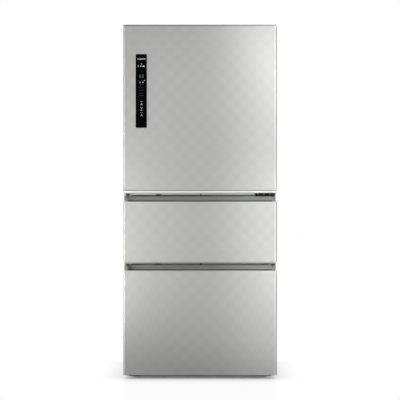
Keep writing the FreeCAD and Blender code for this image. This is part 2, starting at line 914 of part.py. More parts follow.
# Fridge compartment
def make_fridge_duct():
    z = (fridge_floor + size.duct_end_gap, fridge_top - size.duct_end_gap)
    cover = rounded_block("duct_blank", across(size.duct_half_width),
                          (duct_front, liner_back - size.liner_wall), z, size.duct_radius,
                          lambda edge: uprights(edge) and at_level(edge, "y", duct_front))
    pitch = (z[1] - z[0]) / DUCT_VENTS
    vents = [block("duct_vent", about(side * size.vent_offset, size.vent_width),
                   (duct_front - PAST, duct_front + size.vent_depth),
                   about(z[0] + pitch * (n + 0.5), size.vent_height))
             for side in SIDES.values() for n in range(DUCT_VENTS)]
    piece(cut("fridge_duct_cover", cover, *vents))


def make_fridge_light():
    y = cabinet_front + size.light_setback
    ceiling = fridge_top - size.liner_wall
    piece(rounded_block("fridge_light", about(middle_plane, size.light_width), (y, y + size.light_depth),
                        (ceiling - size.light_height, ceiling),
                        smaller(size.light_radius, ROUND_SHARE * size.light_height),
                        lambda edge: below(edge, "z", ceiling)))


def make_shelves():
    glass_half = wall_half - size.shelf_side_gap
    trim_half = wall_half - size.shelf_trim_side_gap
    glasses = []
    trims = []
    for level in shelf_levels():
        glass = block("shelf_glass", across(glass_half), (shelf_front, shelf_back),
                      (level, level + size.shelf_thickness))
        bar = block("trim_bar", across(trim_half),
                    (shelf_front - size.shelf_trim_front, shelf_front + size.shelf_trim_grip),
                    (level - size.shelf_trim_below, level + size.shelf_trim_above))
        slot = block("trim_slot", across(half_width), (shelf_front, shelf_back),
                     (level, level + size.shelf_thickness))
        glasses.append(glass)
        trims.append(cut("shelf_trim", bar, slot))
    piece(group("glass_shelves", *glasses))
    piece(group("shelf_trims", *trims))


# Freezer cold side
fan_y = step_back + size.duct_cover_thickness + size.fan_setback
fan_level = freezer_top - size.fan_drop
motor_front = fan_y + size.fan_depth + size.motor_gap
ledge_level = step_top + size.liner_wall


def make_freezer_duct_cover():
    y = (step_back, step_back + size.duct_cover_thickness)
    plate = block("freezer_plate", across(wall_half), y, (ledge_level, freezer_top - size.liner_wall))
    eye = rod("fan_eye", (middle_plane, y[0] - PAST, fan_level), "y", size.fan_radius + size.fan_tip_gap,
              size.duct_cover_thickness + 2 * PAST)
    first = fan_level - size.grille_pitch * (GRILLE_SLOTS - 1) / 2
    slots = [block("grille_slot", about(side * size.grille_offset, size.grille_width), through(y),
                   about(first + size.grille_pitch * n, size.grille_height))
             for side in SIDES.values() for n in range(GRILLE_SLOTS)]
    piece(cut("freezer_duct_cover", plate, eye, *slots))


def make_evaporator_fan():
    middle = (middle_plane, fan_y, fan_level)
    hub = rod("fan_hub", middle, "y", size.fan_hub_radius, size.fan_depth)
    blades = []
    for n in range(BLADES):
        blade = doc.addObject("Part::Wedge", "fan_blade")
        spans = {
            "X": (-size.blade_skew - size.blade_thickness, -size.blade_skew),
            "X2": (size.blade_skew, size.blade_skew + size.blade_thickness),
            "Y": (middle_plane, size.fan_depth),
            "Z": (size.fan_hub_radius / 2, size.fan_radius),
            "Z2": (size.fan_hub_radius / 2, size.fan_radius),
        }
        for word, span in spans.items():
            bind(blade, f"{word}min", span[0])
            bind(blade, f"{word}max", span[1])
        place(blade, middle, Rotation(AXES["y"], 360 * n / BLADES))
        blades.append(blade)
    bore = rod("fan_bore", (middle_plane, fan_y - PAST, fan_level), "y",
               size.shaft_radius + size.shaft_clearance, size.fan_depth + 2 * PAST)
    piece(cut("evaporator_fan", fuse("fan_wheel", hub, *blades), bore))


def make_evaporator_fan_motor():
    reach = size.fan_radius + size.fan_tip_gap + size.motor_arm_width
    plate_back = step_back + size.duct_cover_thickness
    z = about(fan_level, size.motor_arm_width)
    arm_y = (motor_front, motor_front + size.motor_arm_thickness)
    arm = block("motor_arm", across(reach), arm_y, z)
    legs = [block("motor_leg", beside(side, reach - size.motor_arm_thickness, reach),
                  (plate_back, arm_y[1]), z)
            for side in SIDES.values()]
    can = rod("motor_can", (middle_plane, motor_front, fan_level), "y", size.motor_radius, size.motor_depth)
    shaft = rod("motor_shaft", (middle_plane, fan_y, fan_level), "y", size.shaft_radius,
                size.fan_depth + size.motor_gap + size.motor_arm_thickness)
    piece(fuse("evaporator_fan_motor", arm, can, shaft, *legs))


def make_evaporator():
    y = step_back + size.evaporator_setback
    z = (ledge_level, ledge_level + size.evaporator_height)
    core = block("evaporator_core", about(middle_plane, size.evaporator_width),
                 (y, y + size.evaporator_depth), z)
    pitch = size.evaporator_height / EVAPORATOR_TUBES
    length = size.evaporator_width + 2 * size.tube_overhang
    tube_y = y + size.evaporator_depth / 2
    tubes = [rod("evaporator_tube", (-length / 2, tube_y, z[0] + pitch * (n + 0.5)), "x",
                 size.tube_radius, length)
             for n in range(EVAPORATOR_TUBES)]
    piece(fuse("evaporator", core, *tubes))


# Machine compartment
def make_compressor():
    x = shell_inside - size.compressor_side_gap
    y = (machine_front + cabinet_back) / 2
    plate_z = (pan_top + size.grommet_height, pan_top + size.grommet_height + size.mount_plate)
    plate = block("mount_plate", about(x, 2 * size.mount_reach), about(y, size.compressor_radius), plate_z)
    grommets = [rod("grommet", (x + side * (size.mount_reach - size.grommet_radius), y, pan_top), "z",
                    size.grommet_radius, size.grommet_height + size.mount_plate / 2)
                for side in SIDES.values()]
    body = doc.addObject("PartDesign::Body", "compressor_can")
    sketch = new_sketch(body, "compressor_outline", plate_z[0])
    middle = Vector(x.value, y.value, 0)
    sketch.addGeometry(Part.Circle(middle, AXES["z"], size.compressor_radius.value), False)
    hold(sketch, "Radius", 0, length=size.compressor_radius)
    hold(sketch, "DistanceX", -1, 1, 0, 3, length=x)
    hold(sketch, "DistanceY", -1, 1, 0, 3, length=y)
    pad = pad_sketch(body, sketch, size.compressor_height)
    top = plate_z[0] + size.compressor_height
    round_edges(body, pad, size.compressor_round, lambda edge: at_level(edge, "z", top))
    piece(fuse("compressor", body, plate, *grommets))


def make_drain_pan():
    start = -shell_inside + size.drain_pan_side_gap
    piece(open_box("drain_pan", (start, start + size.drain_pan_width),
                   about((machine_front + cabinet_back) / 2, size.drain_pan_depth),
                   (pan_top, pan_top + size.drain_pan_height), size.drain_pan_wall, size.drain_pan_radius))


# Rollers and feet
def make_roller(word):
    middle = roller_middle(SIDES[word])
    y = cabinet_back - size.roller_back_inset
    wheel = rod(f"{word}_wheel", (middle - size.roller_width / 2, y, size.roller_radius), "x",
                size.roller_radius, size.roller_width)
    reach = size.roller_width / 2 + size.ear_gap + size.ear_thickness + size.ear_gap
    axle = rod(f"{word}_axle", (middle - reach, y, size.roller_radius), "x", size.axle_radius, 2 * reach)
    piece(fuse(f"{word}_rear_roller", wheel, axle))


def make_foot(word):
    side = SIDES[word]
    pad = rod(f"{word}_foot_pad", foot_point(side, middle_plane), "z", size.foot_radius, size.foot_height)
    cone = doc.addObject("Part::Cone", f"{word}_foot_cone")
    bind(cone, "Radius1", size.foot_radius)
    bind(cone, "Radius2", size.foot_neck_radius)
    bind(cone, "Height", size.foot_cone_height)
    place(cone, foot_point(side, size.foot_height), Rotation())
    stud = rod(f"{word}_foot_stud", foot_point(side, size.foot_height), "z", size.stud_radius,
               pan_top + size.stud_rise - size.foot_height)
    piece(fuse(f"{word}_front_foot", pad, cone, stud))


# Doors and drawer fronts
def front_block(name, z):
    """The room inside a folded front skin."""
    return rounded_block(name, across(skin_inside), (front + size.skin_thickness, door_core_back), z,
                         size.skin_corner_radius - size.skin_thickness, front_uprights)


def front_skin(name, z):
    """A front sheet folded back round both sides."""
    outside = rounded_block(f"{name}_outside", across(half_width), (front, door_core_back), z,
                            size.skin_corner_radius, front_uprights)
    hollow = rounded_block(f"{name}_hollow", across(skin_inside),
                           (front + size.skin_thickness, door_core_back + PAST), through(z),
                           size.skin_corner_radius - size.skin_thickness, front_uprights)
    return outside, hollow


def gasket_z(bottom, top):
    return (bottom - gasket_reach, top + gasket_reach)


def make_gasket(name, bottom, top):
    piece(frame(name, across(liner_half + gasket_reach), gasket_z(bottom, top), size.gasket_width,
                (door_back, cabinet_front)))


panel_x = (-half_width + size.panel_side_inset, -half_width + size.panel_side_inset + size.panel_width)
panel_z = (upper_skin_top - size.panel_top_inset - size.panel_height, upper_skin_top - size.panel_top_inset)


def panel_window(name, depth):
    window_x = inset(panel_x, -size.panel_gap)
    window_z = inset(panel_z, -size.panel_gap)
    return block(name, window_x, (front - PAST, front + depth), window_z)


def bush_holes(name):
    low = rod(f"{name}_low_bush", (hinge_x, hinge_y, trim_bottom), "z", size.bush_radius, bush_length)
    high = rod(f"{name}_high_bush", (hinge_x, hinge_y, bush_top), "-z", size.bush_radius, bush_length)
    return [low, high]


def make_upper_door_skin():
    outside, hollow = front_skin("upper_skin", (upper_skin_bottom, upper_skin_top))
    piece(cut("upper_door_skin", outside, hollow, panel_window("skin_window", size.panel_glass)))


def make_upper_door_foam():
    blank = front_block("upper_foam_blank", (upper_skin_bottom, upper_skin_top))
    pocket = panel_window("panel_pocket", size.panel_glass + size.board_depth)
    piece(cut("upper_door_foam", blank, pocket, *bush_holes("foam")))


def make_upper_door_top_cap():
    blank = rounded_block("top_cap_blank", across(half_width), (front, door_back), (upper_skin_top, door_top),
                          size.skin_corner_radius, front_uprights)
    pocket_x = hinge_x - size.hinge_arm_width / 2 - size.hinge_pocket_gap
    pocket = block("top_cap_pocket", (pocket_x, half_width + PAST), (front + size.cap_lip, door_back + PAST),
                   (bush_top, door_top + PAST))
    piece(cut("upper_door_top_cap", blank, pocket, *bush_holes("top_cap")))


def make_upper_door_bottom_trim():
    seam = upper_skin_bottom - size.seam_height

    def rolled_front(edge):
        low_front = runs_along(edge, "x") and at_level(edge, "z", trim_bottom) and at_level(edge, "y", front)
        return low_front or front_uprights(edge)

    bar = rounded_block("trim_bar", across(half_width), (front, door_core_back), (trim_bottom, seam),
                        smaller(size.skin_corner_radius, ROUND_SHARE * (seam - trim_bottom)), rolled_front)
    neck = rounded_block("trim_neck", across(half_width - size.seam_depth),
                         (front + size.seam_depth, door_core_back), (seam, upper_skin_bottom),
                         size.skin_corner_radius - size.seam_depth, front_uprights)
    piece(cut("upper_door_bottom_trim", fuse("trim_body", bar, neck), *bush_holes("trim")))


def make_upper_door_pull():
    """The grey pull strip under the door, from the left end to beside the hinge."""
    x = (-half_width + size.pull_end_inset, hinge_x - size.bracket_reach - size.pull_hinge_gap)
    y = (front + size.pull_setback, door_core_back - size.pull_back_gap)
    piece(rounded_block("upper_door_pull", x, y, (pull_bottom, trim_bottom), size.pull_height / 2,
                        lambda edge: runs_along(edge, "x") and at_level(edge, "z", pull_bottom)))


def make_upper_door_liner():
    plate = block("door_liner_plate", across(skin_inside), (door_core_back, door_back),
                  (trim_bottom, upper_skin_top))
    outside_half = wall_half - size.dike_side_gap
    y = (door_back, door_back + size.dike_depth)
    z = dike_z()
    ring = rounded_block("dike_blank", across(outside_half), y, z, size.dike_radius, uprights)
    room = block("dike_room", across(outside_half - size.dike_width), (door_back, y[1] + PAST),
                 inset(z, size.dike_width))
    piece(fuse("upper_door_liner", plate, cut("dike", ring, room)))


def dike_z():
    gap = size.liner_wall + size.dike_end_gap
    return (fridge_floor + gap, fridge_top - gap)


def bin_levels():
    """The bottom and top bins, and one midway between them."""
    low, high = inset(dike_z(), size.dike_width)
    bottom = low + size.bottom_bin_level
    top = high - size.top_bin_drop
    return [bottom, (bottom + top) / 2, top]


def make_door_bin(word, bottom, height):
    half = wall_half - size.dike_side_gap - size.dike_width
    piece(open_box(f"door_bin_{word}", across(half), (door_back, door_back + size.bin_depth),
                   (bottom, bottom + height), size.bin_wall, size.bin_radius))


def make_control_panel():
    glass_y = (front, front + size.panel_glass)
    glass = rounded_block("control_panel", panel_x, glass_y, panel_z, size.panel_corner_radius,
                          lambda edge: runs_along(edge, "y"))
    piece(glass)
    piece(block("control_board", inset(panel_x, size.board_margin),
                (glass_y[1], glass_y[1] + size.board_depth), inset(panel_z, size.board_margin)))


def make_bushes():
    bore = size.pin_radius + size.pin_clearance
    reach = bush_length + 2 * PAST
    low, high = bush_holes("bush")
    low_bore = rod("low_bore", (hinge_x, hinge_y, trim_bottom - PAST), "z", bore, reach)
    high_bore = rod("high_bore", (hinge_x, hinge_y, bush_top + PAST), "-z", bore, reach)
    piece(group("upper_door_bushes", cut("low_bush", low, low_bore), cut("high_bush", high, high_bore)))


def make_drawer_skin(name, z):
    outside, hollow = front_skin(f"{name}_sheet", z)
    piece(cut(name, outside, hollow))


def make_drawer_grip(name, skin_top):
    """A drawer's top profile: a finger groove behind the front edge, with a higher back wall."""
    groove_y = (front + size.groove_lip, front + size.groove_lip + size.groove_width)
    top = skin_top + size.grip_rise
    base = front_block(f"{name}_base", (skin_top - size.grip_depth, skin_top))
    wall = block(f"{name}_wall", across(grip_half), (groove_y[1], door_core_back), (skin_top, top))
    end_radius = smaller(size.grip_end_radius, ROUND_SHARE * size.grip_rise)
    ends = [rounded_block(f"{name}_end", beside(side, half_width - size.groove_end, grip_half), groove_y,
                          (skin_top, top), end_radius,
                          lambda edge: runs_along(edge, "x") and at_level(edge, "z", top)
                          and at_level(edge, "y", groove_y[0]))
            for side in SIDES.values()]
    groove_floor = skin_top - size.groove_depth
    groove = rounded_block(f"{name}_groove", across(half_width - size.groove_end), groove_y,
                           (groove_floor, top + PAST), size.groove_radius,
                           lambda edge: at_level(edge, "z", groove_floor))
    piece(cut(name, fuse(f"{name}_body", base, wall, *ends), groove))


def make_drawer_cap():
    piece(rounded_block("middle_drawer_cap", across(grip_half), (front + size.cap_setback, door_core_back),
                        (middle_cap_bottom, middle_skin_bottom), size.skin_corner_radius / 2,
                        lambda edge: at_level(edge, "z", middle_cap_bottom)
                        and below(edge, "y", door_core_back)))


def plateau(name, floor, top):
    """The raised middle of a drawer's inner panel, which enters the compartment's mouth."""
    gap = size.liner_wall + size.plateau_end_gap
    return rounded_block(f"{name}_plateau", across(wall_half - size.plateau_side_gap),
                         (door_back, plateau_face), (floor + gap, top - gap), size.plateau_depth / 2,
                         lambda edge: at_level(edge, "y", plateau_face))


def make_middle_drawer_liner():
    plate = block("middle_drawer_plate", across(skin_inside), (door_core_back, door_back),
                  (middle_cap_bottom, middle_front_top))
    piece(fuse("middle_drawer_liner", plate, plateau("middle", middle_floor, middle_top)))


def make_lower_drawer_liner():
    plate = block("lower_drawer_plate", across(skin_inside), (door_core_back, door_back),
                  (lower_skin_bottom, lower_front_top))
    sole = front_block("lower_drawer_sole", (lower_skin_bottom, lower_skin_bottom + size.door_liner_wall))
    piece(fuse("lower_drawer_liner", plate, sole, plateau("lower", freezer_floor, freezer_top)))


# Drawer slides and baskets
def channel(name, x, y, z, room_x):
    """A C-shaped slide member, open towards the middle of the compartment."""
    blank = block(f"{name}_blank", x, y, z)
    room = block(f"{name}_room", room_x, through(y), inset(z, size.slide_wall))
    return cut(name, blank, room)


def channel_pair(word, start, end, half, level, back):
    """The left and right channels of one size, between two distances from the side walls."""
    return [channel(f"{word}_{side_word}", off_wall(side, start, end), (slide_front, back),
                    about(level, 2 * half), off_wall(side, start + size.slide_wall, end + PAST))
            for side_word, side in SIDES.items()]


def make_outer_rails():
    rails = []
    for word, level, back in slide_rows():
        rails += channel_pair(f"{word}_outer", middle_plane, size.slide_depth, slide_half, level, back)
    piece(group("outer_rails", *rails))


def slide_rows():
    return [("middle", middle_slide_level, middle_slide_back), ("lower", lower_slide_level, lower_slide_back)]


def make_moving_rails():
    for word, level, back in slide_rows():
        mids = channel_pair(f"{word}_mid", channel_start, channel_end, channel_half, level, back)
        bars = [slide_bar(word, side, level, back) for side in SIDES.values()]
        piece(group(f"{word}_rail_mid", *mids))
        piece(group(f"{word}_rail_inner", *bars))


def slide_bar(word, side, level, back):
    """The innermost slide member, with the ledge that carries the basket."""
    y = (plateau_face, back)
    bar = block(f"{word}_bar", off_wall(side, bar_start, bar_end), y, about(level, 2 * bar_half))
    ledge = block(f"{word}_ledge", off_wall(side, bar_end, bar_end + size.ledge_width), y,
                  (level + bar_half - size.ledge_thickness, level + bar_half))
    return fuse(f"{word}_slide_bar", bar, ledge)


def rim_top(level):
    return level + bar_half + size.rim_thickness


def make_basket(name, floor, level, back):
    y = (basket_front, back)
    z = (floor + size.liner_wall + size.basket_floor_gap, rim_top(level))
    body_y = inset(y, size.rim_end)
    tub = open_box(f"{name}_tub", across(basket_half), body_y, z, size.basket_wall, size.basket_radius)
    rim_blank = rounded_block(f"{name}_rim_blank", across(rim_half), y, (z[1] - size.rim_thickness, z[1]),
                              size.basket_radius, uprights)
    mouth = rounded_block(f"{name}_mouth", across(basket_half - size.basket_wall),
                          inset(body_y, size.basket_wall), (z[1] - size.rim_thickness - PAST, z[1] + PAST),
                          size.basket_radius - size.basket_wall, uprights)
    piece(fuse(name, tub, cut(f"{name}_rim", rim_blank, mouth)))


def make_tray():
    bottom = rim_top(lower_slide_level) + size.tray_gap
    y = basket_front + size.tray_inset
    piece(open_box("lower_tray", across(rim_half - size.tray_inset), (y, y + size.tray_depth),
                   (bottom, bottom + size.tray_height), size.tray_wall, size.tray_radius))


def make_cabinet():
    make_cabinet_shell()
    make_back_panel()
    make_base_pan()
    make_cabinet_foam()
    make_fridge_liner()
    make_middle_liner()
    make_freezer_liner()
    make_cross_rails()
    make_kick_plate()
    make_machine_cover()
    make_top_hinge()
    make_top_hinge_cover()
    make_middle_hinge()
    make_screws()
    make_fridge_duct()
    make_fridge_light()
    make_shelves()
    make_freezer_duct_cover()
    make_evaporator()
    make_evaporator_fan_motor()
    make_compressor()
    make_drain_pan()
    make_outer_rails()


def make_small_movers():
    make_evaporator_fan()
    for word in SIDES:
        make_roller(word)
        make_foot(word)


def make_upper_door():
    make_upper_door_skin()
    make_upper_door_top_cap()
    make_upper_door_bottom_trim()
    make_upper_door_pull()
    make_upper_door_foam()
    make_upper_door_liner()
    make_gasket("upper_door_gasket", fridge_floor, fridge_top)
    make_control_panel()
    make_bushes()
    low, middle, high = bin_levels()
    make_door_bin("bottom", low, size.bottom_bin_height)
    make_door_bin("middle", middle, size.middle_bin_height)
    make_door_bin("top", high, size.top_bin_height)


def make_middle_drawer():
    make_drawer_skin("middle_drawer_skin", (middle_skin_bottom, middle_skin_top))
    make_drawer_grip("middle_drawer_grip", middle_skin_top)
    make_drawer_cap()
    piece(front_block("middle_drawer_foam", (middle_skin_bottom, middle_skin_top - size.grip_depth)))
    make_middle_drawer_liner()
    make_gasket("middle_drawer_gasket", middle_floor, middle_top)
    make_basket("middle_basket", middle_floor, middle_slide_level, liner_back - size.middle_basket_back_gap)


def make_lower_drawer():
    make_drawer_skin("lower_drawer_skin", (lower_skin_bottom, lower_skin_top))
    make_drawer_grip("lower_drawer_grip", lower_skin_top)
    foam_z = (lower_skin_bottom + size.door_liner_wall, lower_skin_top - size.grip_depth)
    piece(front_block("lower_drawer_foam", foam_z))
    make_lower_drawer_liner()
    make_gasket("lower_drawer_gasket", freezer_floor, freezer_top)
    make_basket("lower_basket", freezer_floor, lower_slide_level, step_back - size.lower_basket_back_gap)
    make_tray()


def check_pieces():
    """Stops before anything is written if an item failed or a sub-part has no sound shape."""
    failed = [item.Name for item in doc.Objects if {"Invalid", "Error"} & set(item.State)]
    if failed:
        raise RuntimeError(f"failed items: {failed}")
    for item in pieces:
        if item.Shape.isNull() or not item.Shape.isValid() or not item.Shape.Solids:
            raise RuntimeError(f"unsound shape: {item.Label}")


def write_pieces():
    os.makedirs("parts", exist_ok=True)
    for item in pieces:
        item.Shape.exportStep(f"parts/{item.Label}.step")


make_cabinet()
make_small_movers()
make_upper_door()
make_middle_drawer()
make_lower_drawer()
make_moving_rails()
doc.recompute()
check_pieces()
write_pieces()
print(f"{len(pieces)} sub-parts written")
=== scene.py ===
"""The looks of a three-door refrigerator: its finishes, rolled edges and small fittings.

Metres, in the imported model's own frame: the doors face -Y, up is +Z and the origin is on the floor.
"""

import json
from functools import partial
from math import cos, pi, radians, sin, tan, tau

import bmesh
import bpy
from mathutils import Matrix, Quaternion, Vector

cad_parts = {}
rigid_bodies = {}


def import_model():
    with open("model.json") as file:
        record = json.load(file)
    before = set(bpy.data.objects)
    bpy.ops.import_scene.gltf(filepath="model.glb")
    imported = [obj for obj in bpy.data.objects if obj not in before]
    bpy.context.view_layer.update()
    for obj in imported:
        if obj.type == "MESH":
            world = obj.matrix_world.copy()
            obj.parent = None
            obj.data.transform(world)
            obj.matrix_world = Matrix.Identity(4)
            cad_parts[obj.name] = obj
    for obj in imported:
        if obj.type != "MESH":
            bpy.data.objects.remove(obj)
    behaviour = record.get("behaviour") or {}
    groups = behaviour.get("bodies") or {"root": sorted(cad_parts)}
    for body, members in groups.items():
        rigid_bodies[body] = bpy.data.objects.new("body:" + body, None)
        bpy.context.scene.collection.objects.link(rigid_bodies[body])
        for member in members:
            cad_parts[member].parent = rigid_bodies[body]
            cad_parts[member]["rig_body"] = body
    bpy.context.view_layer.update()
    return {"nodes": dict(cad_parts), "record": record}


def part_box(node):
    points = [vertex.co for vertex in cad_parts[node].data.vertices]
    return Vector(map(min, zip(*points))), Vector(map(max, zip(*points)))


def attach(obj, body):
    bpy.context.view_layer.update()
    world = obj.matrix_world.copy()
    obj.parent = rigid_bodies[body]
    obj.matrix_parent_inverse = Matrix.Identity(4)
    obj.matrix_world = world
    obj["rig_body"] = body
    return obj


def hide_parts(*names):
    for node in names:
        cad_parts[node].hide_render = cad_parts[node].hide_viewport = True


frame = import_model()

MM = 0.001
scene = bpy.context.scene
scene.view_settings.view_transform = "Standard"
parts = frame["nodes"]
door_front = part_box("upper_door_skin")[0].y
door_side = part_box("upper_door_skin")[1].x
slot_of = {row["node"]: row["material_slot"] for row in frame["record"]["subparts"]}


# Small helpers

def hex_colour(code):
    """A linear colour from an sRGB hex value."""
    channels = [int(code[n:n + 2], 16) / 255 for n in (1, 3, 5)]
    linear = [c / 12.92 if c <= 0.04045 else ((c + 0.055) / 1.055) ** 2.4 for c in channels]
    return (*linear, 1.0)


def add_node(tree, kind, sockets=None, **settings):
    """Adds a node with its settings.

    A socket is given a value, an output to link from, a node whose first output it is, or a list of those.
    """
    node = tree.nodes.new(kind)
    for name, value in settings.items():
        setattr(node, name, value)
    for name, value in (sockets or {}).items():
        for source in value if isinstance(value, list) else [value]:
            if isinstance(source, bpy.types.Node):
                source = source.outputs[0]
            if isinstance(source, bpy.types.NodeSocket):
                tree.links.new(source, node.inputs[name])
            else:
                node.inputs[name].default_value = source
    return node


def per_metre(size_mm):
    """A texture scale whose features are that many millimetres across."""
    return 1 / (size_mm * MM)


# Finishes

MIX_A, MIX_B, MIX_RESULT = 6, 7, 2  # a Mix node's colour sockets
# A texture, the output that is its pattern, and its own sockets.
GRAIN = ("ShaderNodeTexNoise", "Fac", {"Detail": 3.0})
WIPE_MARKS = ("ShaderNodeTexNoise", "Fac", {"Detail": 4.0})
HAZE = ("ShaderNodeTexNoise", "Fac", {})
OPEN_CELLS = ("ShaderNodeTexVoronoi", "Distance", {})
COPPER_RUNS = ("ShaderNodeTexBrick", "Fac", {})
DIAMOND_PITCH, DIAMOND_TURN = 77.6, radians(45)
WAVE_TURN = 20  # a wave texture's phase runs 20 radians in a unit of length
# Painted highlight and shade at a door's hinge side: where each line starts and where it is whole, in from
# the side, in mm.
EDGE_HIGHLIGHT_LINE = (11, 8)
EDGE_SHADE_LINE = (5.5, 4)
EDGE_SHADE_DEPTH = (8, 12)  # where the dull line fades out, back from the front
SPANGLE = 12


def new_finish(name):
    """A new material, a way to add nodes to it, and the place on the piece that its patterns follow."""
    material = bpy.data.materials.new(name)
    material.use_nodes = True
    material.node_tree.nodes.clear()
    add = partial(add_node, material.node_tree)
    return material, add, add("ShaderNodeTexCoord").outputs["Object"]


def end_finish(add, sockets):
    """Ends a finish in a surface with those sockets set or linked."""
    add("ShaderNodeOutputMaterial", {"Surface": add("ShaderNodeBsdfPrincipled", sockets)})


def finish(name, dark, light, size_mm, depth_mm, rough, sockets, stretch=(1, 1, 1), texture=GRAIN, glow=0):
    """A finish with one pattern in its colour, and in its gloss, surface and glow where they are given."""
    material, add, place = new_finish(name)
    kind, output, own_sockets = texture
    drawn = add("ShaderNodeMapping", {"Vector": place, "Scale": stretch})
    pattern = add(kind, {"Vector": drawn, "Scale": per_metre(size_mm), **own_sockets}).outputs[output]
    colour = add("ShaderNodeMix", {"Factor": pattern, MIX_A: hex_colour(dark), MIX_B: hex_colour(light)},
                 data_type="RGBA").outputs[MIX_RESULT]
    sockets = {**sockets, "Base Color": colour}
    if rough:
        sockets["Roughness"] = add("ShaderNodeMapRange", {
            "Value": pattern, "To Min": rough[0], "To Max": rough[1]})
    if depth_mm:
        sockets["Normal"] = add("ShaderNodeBump", {
            "Strength": 1.0, "Distance": depth_mm * MM, "Height": pattern})
    if glow:
        sockets.update({"Emission Color": colour, "Emission Strength": glow})
    end_finish(add, sockets)
    return material


def precoated_silver_steel():
    """Pre-coated steel sheet: a satin silver film over metal, with faint staggered diamonds 78 mm apart.

    Down the hinge-side edge it shows a pale line and then a dull one: painted highlight and painted shade.
    """
    material, add, place = new_finish("precoated_silver_steel")
    turned = add("ShaderNodeMapping", {"Vector": place, "Rotation": (0, DIAMOND_TURN, 0)})
    wave_scale = tau / WAVE_TURN * per_metre(DIAMOND_PITCH / 2 ** 0.5)
    across, upward = [add("ShaderNodeTexWave", {"Vector": turned, "Scale": wave_scale}, bands_direction=way)
                      for way in ("X", "Z")]
    both = add("ShaderNodeMath", {0: across.outputs["Fac"], 1: upward.outputs["Fac"]}, operation="ADD")
    pressed = add("ShaderNodeMapRange", {"Value": both, "From Max": 2.0})
    spot = add("ShaderNodeSeparateXYZ", {"Vector": place}).outputs
    painted_highlight, painted_shade = [
        add("ShaderNodeMapRange", {
            "Value": spot["X"], "From Min": door_side - start * MM, "From Max": door_side - whole * MM})
        for start, whole in (EDGE_HIGHLIGHT_LINE, EDGE_SHADE_LINE)]
    before = add("ShaderNodeMapRange", {
        "Value": spot["Y"], "From Min": door_front + EDGE_SHADE_DEPTH[0] * MM,
        "From Max": door_front + EDGE_SHADE_DEPTH[1] * MM, "To Min": 1.0, "To Max": 0.0})
    painted_edge_shade = add("ShaderNodeMath", {0: painted_shade, 1: before}, operation="MULTIPLY")
    colour = hex_colour("#B0B0AE")
    # The last two mixes paint a highlight and then a shade down the hinge-side edge.
    for share, shade in ((pressed, "#B4B4B2"), (painted_highlight, "#DCDCDA"), (painted_edge_shade, "#5A5A58")):
        colour = add("ShaderNodeMix", {"Factor": share, MIX_A: colour, MIX_B: hex_colour(shade)},
                     data_type="RGBA").outputs[MIX_RESULT]
    gloss = add("ShaderNodeMapRange", {"Value": pressed, "To Min": 0.36, "To Max": 0.4})
    end_finish(add, {"Metallic": 0.25, "Specular IOR Level": 0.2, "Base Color": colour, "Roughness": gloss})
    return material


def galvanised_steel(name, dark, light):
    """Hot-dip galvanised sheet: grey zinc crystals 12 mm across, each catching the light its own way."""
    material, add, place = new_finish(name)
    spangle = add("ShaderNodeTexVoronoi", {"Vector": place, "Scale": per_metre(SPANGLE)}).outputs["Color"]
    shade = add("ShaderNodeSeparateColor", {"Color": spangle}).outputs
    colour = add("ShaderNodeMix", {
        "Factor": shade["Red"], MIX_A: hex_colour(dark), MIX_B: hex_colour(light)},
        data_type="RGBA").outputs[MIX_RESULT]
    gloss = add("ShaderNodeMapRange", {"Value": shade["Green"], "To Min": 0.4, "To Max": 0.55})
    end_finish(add, {"Metallic": 1.0, "Base Color": colour, "Roughness": gloss})
    return material


def clear_finish(name, tint, rough, ior):
    """A see-through finish with faint wipe marks in its gloss, about 40 mm across."""
    return finish(name, tint, "#FBFDFD", 40, 0, rough, {"Transmission Weight": 1.0, "IOR": ior},
                  texture=WIPE_MARKS)


def glowing(name, dark, light, glow):
    """A mark with its own light, uneven over about 3 mm as a moulded light guide is: back-lit, or on unlit
    marks a faint painted glow.
    """
    return finish(name, dark, light, 3, 0, None, {"Roughness": 0.3}, texture=HAZE, glow=glow)


